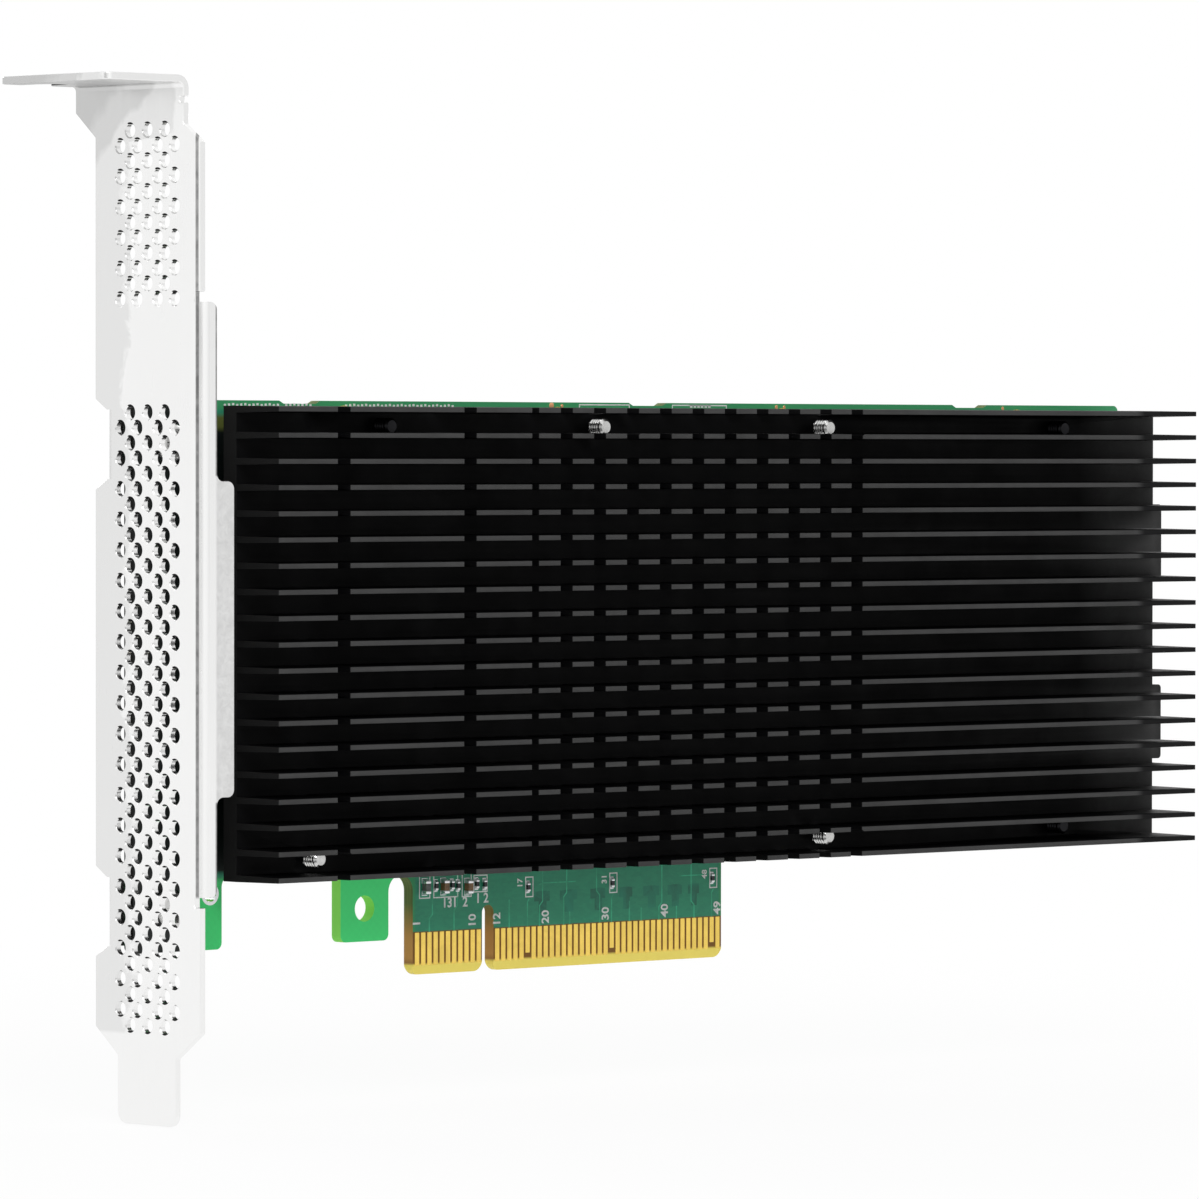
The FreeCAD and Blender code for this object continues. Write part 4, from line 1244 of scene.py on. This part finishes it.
POST_PROFILE = [(1.5, -1.57), (1.5, 0.0), (2.3, 0.0), (2.5, 0.15), (2.5, 1.05), (2.38, 1.22), (0.95, 1.22),
                (0.95, 0.2)]


class CARD_OT_fixings(bpy.types.Operator):
    """Model the screws, the heat sink's spacers and the drive posts"""
    bl_idname = "card.fixings"
    bl_label = "Screws, Spacers and Posts"

    def execute(self, context):
        low, high = millimetres("heat_sink_screws")
        for name, places, key in (("bright_sink_screws", BRIGHT_SCREWS, "screw"),
                                  ("dark_sink_screws", DARK_SCREWS, "dark_screw")):
            screws = bmesh.new()
            for x, z in places:
                add_screw(screws, x, z, Y_BACK, low.y, 1.0, 1.93, high.y - Y_BACK, 0.4)
            make_piece(screws, name, "screw_steel", key, node="heat_sink_screws")
        low, high = millimetres("bracket_screws")
        screws = bmesh.new()
        for x, z in EAR_SCREWS:
            add_screw(screws, x, z, Y_FRONT, high.y, 1.25, 2.4, Y_FRONT - low.y, 0.45)
        make_piece(screws, "bracket_screw_set", "screw_steel", "screw", node="bracket_screws")
        spacers = bmesh.new()
        for x, z in SINK_SCREWS:
            add_ring(spacers, front_of(x, z), *SPACER)
        soften(spacers, 0.08, sharper_than=60.0)
        make_piece(spacers, "heat_sink_spacer_set", "post_brass", "brass", node="heat_sink_spacers")
        posts, screws = bmesh.new(), bmesh.new()
        for x in POST_REACHES:
            for z in DRIVE_LEVELS:
                add_turned(posts, front_of(x, z), POST_PROFILE, sides=32)
                add_screw(screws, x, z, Y_FRONT - 1.25, Y_FRONT - 0.25, 0.93, 2.1, 0.9, 0.35)
        make_piece(posts, "drive_post_set", "post_brass", "brass", node="drive_posts")
        make_piece(screws, "drive_screw_set", "screw_steel", "screw", node="drive_screws")
        return {"FINISHED"}


# ---- stage --------------------------------------------------------------------------------------
CAMERA_PLACE = (-662.10, -715.49, 62.46)
CAMERA_HEADING = 43.26
CAMERA_PITCH = -1.43
CAMERA_ROLL = 0.06
LENS = 244.32
LENS_SHIFT = (0.0399, 0.0443)
LAMP_AIM = (0.02, 0.0, 0.04)
# each lamp: its place in metres, its size and its power
LAMPS = (("key", (-0.9, -1.3, 1.0), 0.9, 17.0),
         ("fill", (1.5, 0.15, 0.8), 0.9, 6.0),
         ("rear", (0.2, 1.5, 0.9), 1.0, 9.0))
SURROUNDINGS = 0.42
# each flag: the way to it, where it starts and where it is full, as cosines, and how dark it is
FLAGS = (((-0.82, -0.57, 0.0), 0.80, 0.94, 0.55), ((0.686, -0.728, 0.0), 0.80, 0.97, 0.16))
FLOOR_REACH = 6.0
FLOOR_GAP = 0.0002
WHITE = (1.0, 1.0, 1.0, 1.0)


def add_lamp(name, place, size, power):
    data = bpy.data.lights.new(name, "AREA")
    data.shape = "DISK"
    data.size = size
    data.energy = power
    lamp = bpy.data.objects.new(name, data)
    lamp.location = place
    lamp.rotation_euler = (Vector(LAMP_AIM) - Vector(place)).to_track_quat("-Z", "Y").to_euler()
    bpy.context.scene.collection.objects.link(lamp)


def seen_rays(tree):
    """1 for the rays that show a surface as it looks, seen, reflected or through glass; and the reflected ones."""
    direct = add(tree, "ShaderNodeLightPath", output="Is Camera Ray")
    glossy = Signal(direct.node, "Is Glossy Ray")
    return direct.plus(glossy).plus(Signal(direct.node, "Is Transmission Ray")), glossy


def blend_shaders(tree, output, mask, first, second):
    """Two shaders mixed by a mask, and fed to the output of a world or a material."""
    blend = add(tree, "ShaderNodeMixShader", {0: mask, 1: first, 2: second})
    tree.links.new(blend.socket, tree.nodes.new(output).inputs["Surface"])


def white_world(level):
    """White all round, with two dim flags that only show in reflections and draw the bends of bright metal."""
    world = bpy.data.worlds.new("White Studio")
    bpy.context.scene.world = world
    world.use_nodes = True
    tree = world.node_tree
    tree.nodes.clear()
    seen, glossy = seen_rays(tree)
    way = add(tree, "ShaderNodeTexCoord", output="Generated")
    shade = glossy
    for towards, start, full, depth in FLAGS:
        shade = shade * vector_maths(way, towards, "DOT_PRODUCT", "Value").ramp(start, full, 1.0, 1.0 - depth)
    light = add(tree, "ShaderNodeBackground", {"Color": WHITE, "Strength": level})
    shown = add(tree, "ShaderNodeBackground", {"Color": WHITE, "Strength": shade + (1.0 - glossy)})
    blend_shaders(tree, "ShaderNodeOutputWorld", seen, light, shown)


def floor_material():
    """White floor that keeps a faint shadow near the card, and whose far end is dimmer in reflections."""
    material = bpy.data.materials.new("White Floor")
    material.use_nodes = True
    tree = material.node_tree
    tree.nodes.clear()
    seen, glossy = seen_rays(tree)
    place = object_place(tree)
    behind = vector_maths(place, (0.68, 0.73, 0.0), "DOT_PRODUCT", "Value")
    fade = vector_maths(place, (0.0, 0.0, 0.0), "LENGTH", "Value").ramp(
        0.05, 0.30, 0.93, 1.0, interpolation_type="SMOOTHSTEP")
    paint = add(tree, "ShaderNodeBsdfDiffuse", {"Color": (0.9, 0.9, 0.9, 1.0)})
    dimmed = 1.0 - behind.ramp(0.4, 1.2, 0.0, 0.5) * glossy
    glow = add(tree, "ShaderNodeEmission", {"Color": WHITE, "Strength": dimmed})
    blend_shaders(tree, "ShaderNodeOutputMaterial", seen * fade, paint, glow)
    return material


def add_floor():
    bm = bmesh.new()
    bmesh.ops.create_grid(bm, x_segments=1, y_segments=1, size=FLOOR_REACH)
    bmesh.ops.translate(bm, vec=(0, 0, cad_low.z - FLOOR_GAP), verts=bm.verts)
    mesh = bpy.data.meshes.new("floor")
    bm.to_mesh(mesh)
    bm.free()
    mesh.materials.append(floor_material())
    floor = bpy.data.objects.new("floor", mesh)
    bpy.context.scene.collection.objects.link(floor)


def add_camera(scene):
    data = bpy.data.cameras.new("camera")
    data.sensor_width = 36.0
    data.lens = LENS
    data.shift_x, data.shift_y = LENS_SHIFT
    data.clip_end = 30.0
    camera = bpy.data.objects.new("camera", data)
    heading, pitch = math.radians(CAMERA_HEADING), math.radians(CAMERA_PITCH)
    forward = Vector((math.sin(heading) * math.cos(pitch), math.cos(heading) * math.cos(pitch), math.sin(pitch)))
    camera.matrix_world = (Matrix.Translation(Vector(CAMERA_PLACE) * MM)
                           @ forward.to_track_quat("-Z", "Y").to_matrix().to_4x4()
                           @ Matrix.Rotation(math.radians(CAMERA_ROLL), 4, "Z"))
    scene.collection.objects.link(camera)
    scene.camera = camera


class CARD_OT_stage(bpy.types.Operator):
    """Set the surroundings, the floor, the lamps and the camera"""
    bl_idname = "card.stage"
    bl_label = "Stage"

    def execute(self, context):
        level = context.scene.card_sizes.light_level
        context.scene.view_settings.view_transform = "Standard"
        white_world(SURROUNDINGS * level)
        add_floor()
        for name, place, size, power in LAMPS:
            add_lamp(name, place, size, power * level)
        add_camera(context.scene)
        return {"FINISHED"}


class CARD_OT_materials(bpy.types.Operator):
    """Make the materials that every piece takes its finish from"""
    bl_idname = "card.materials"
    bl_label = "Materials"

    def execute(self, context):
        make_materials(context.scene.card_colours)
        return {"FINISHED"}


OPERATORS = (CARD_OT_stage, CARD_OT_materials, CARD_OT_bracket, CARD_OT_heat_sink, CARD_OT_board, CARD_OT_print,
             CARD_OT_traces, CARD_OT_chip_parts, CARD_OT_sockets, CARD_OT_power_parts, CARD_OT_fixings)


class CARD_PT_pieces(bpy.types.Panel):
    """Lists the pieces of the card"""
    bl_label = "Adapter Card"
    bl_space_type = "VIEW_3D"
    bl_region_type = "UI"
    bl_category = "Adapter Card"

    def draw(self, context):
        layout = self.layout
        for group in (context.scene.card_sizes, context.scene.card_colours):
            for name in group.bl_rna.properties.keys():
                if name not in ("rna_type", "name"):
                    layout.prop(group, name)
        for operator in OPERATORS:
            layout.operator(operator.bl_idname)


CLASSES = (CardSizes, CardColours, *OPERATORS, CARD_PT_pieces)


def register():
    for cls in CLASSES:
        bpy.utils.register_class(cls)
    bpy.types.Scene.card_sizes = bpy.props.PointerProperty(type=CardSizes)
    bpy.types.Scene.card_colours = bpy.props.PointerProperty(type=CardColours)


def unregister():
    del bpy.types.Scene.card_colours
    del bpy.types.Scene.card_sizes
    for cls in reversed(CLASSES):
        bpy.utils.unregister_class(cls)


def main():
    register()
    for operator in OPERATORS:
        getattr(bpy.ops.card, operator.bl_idname.split(".")[1])()


if __name__ == "__main__":
    main()
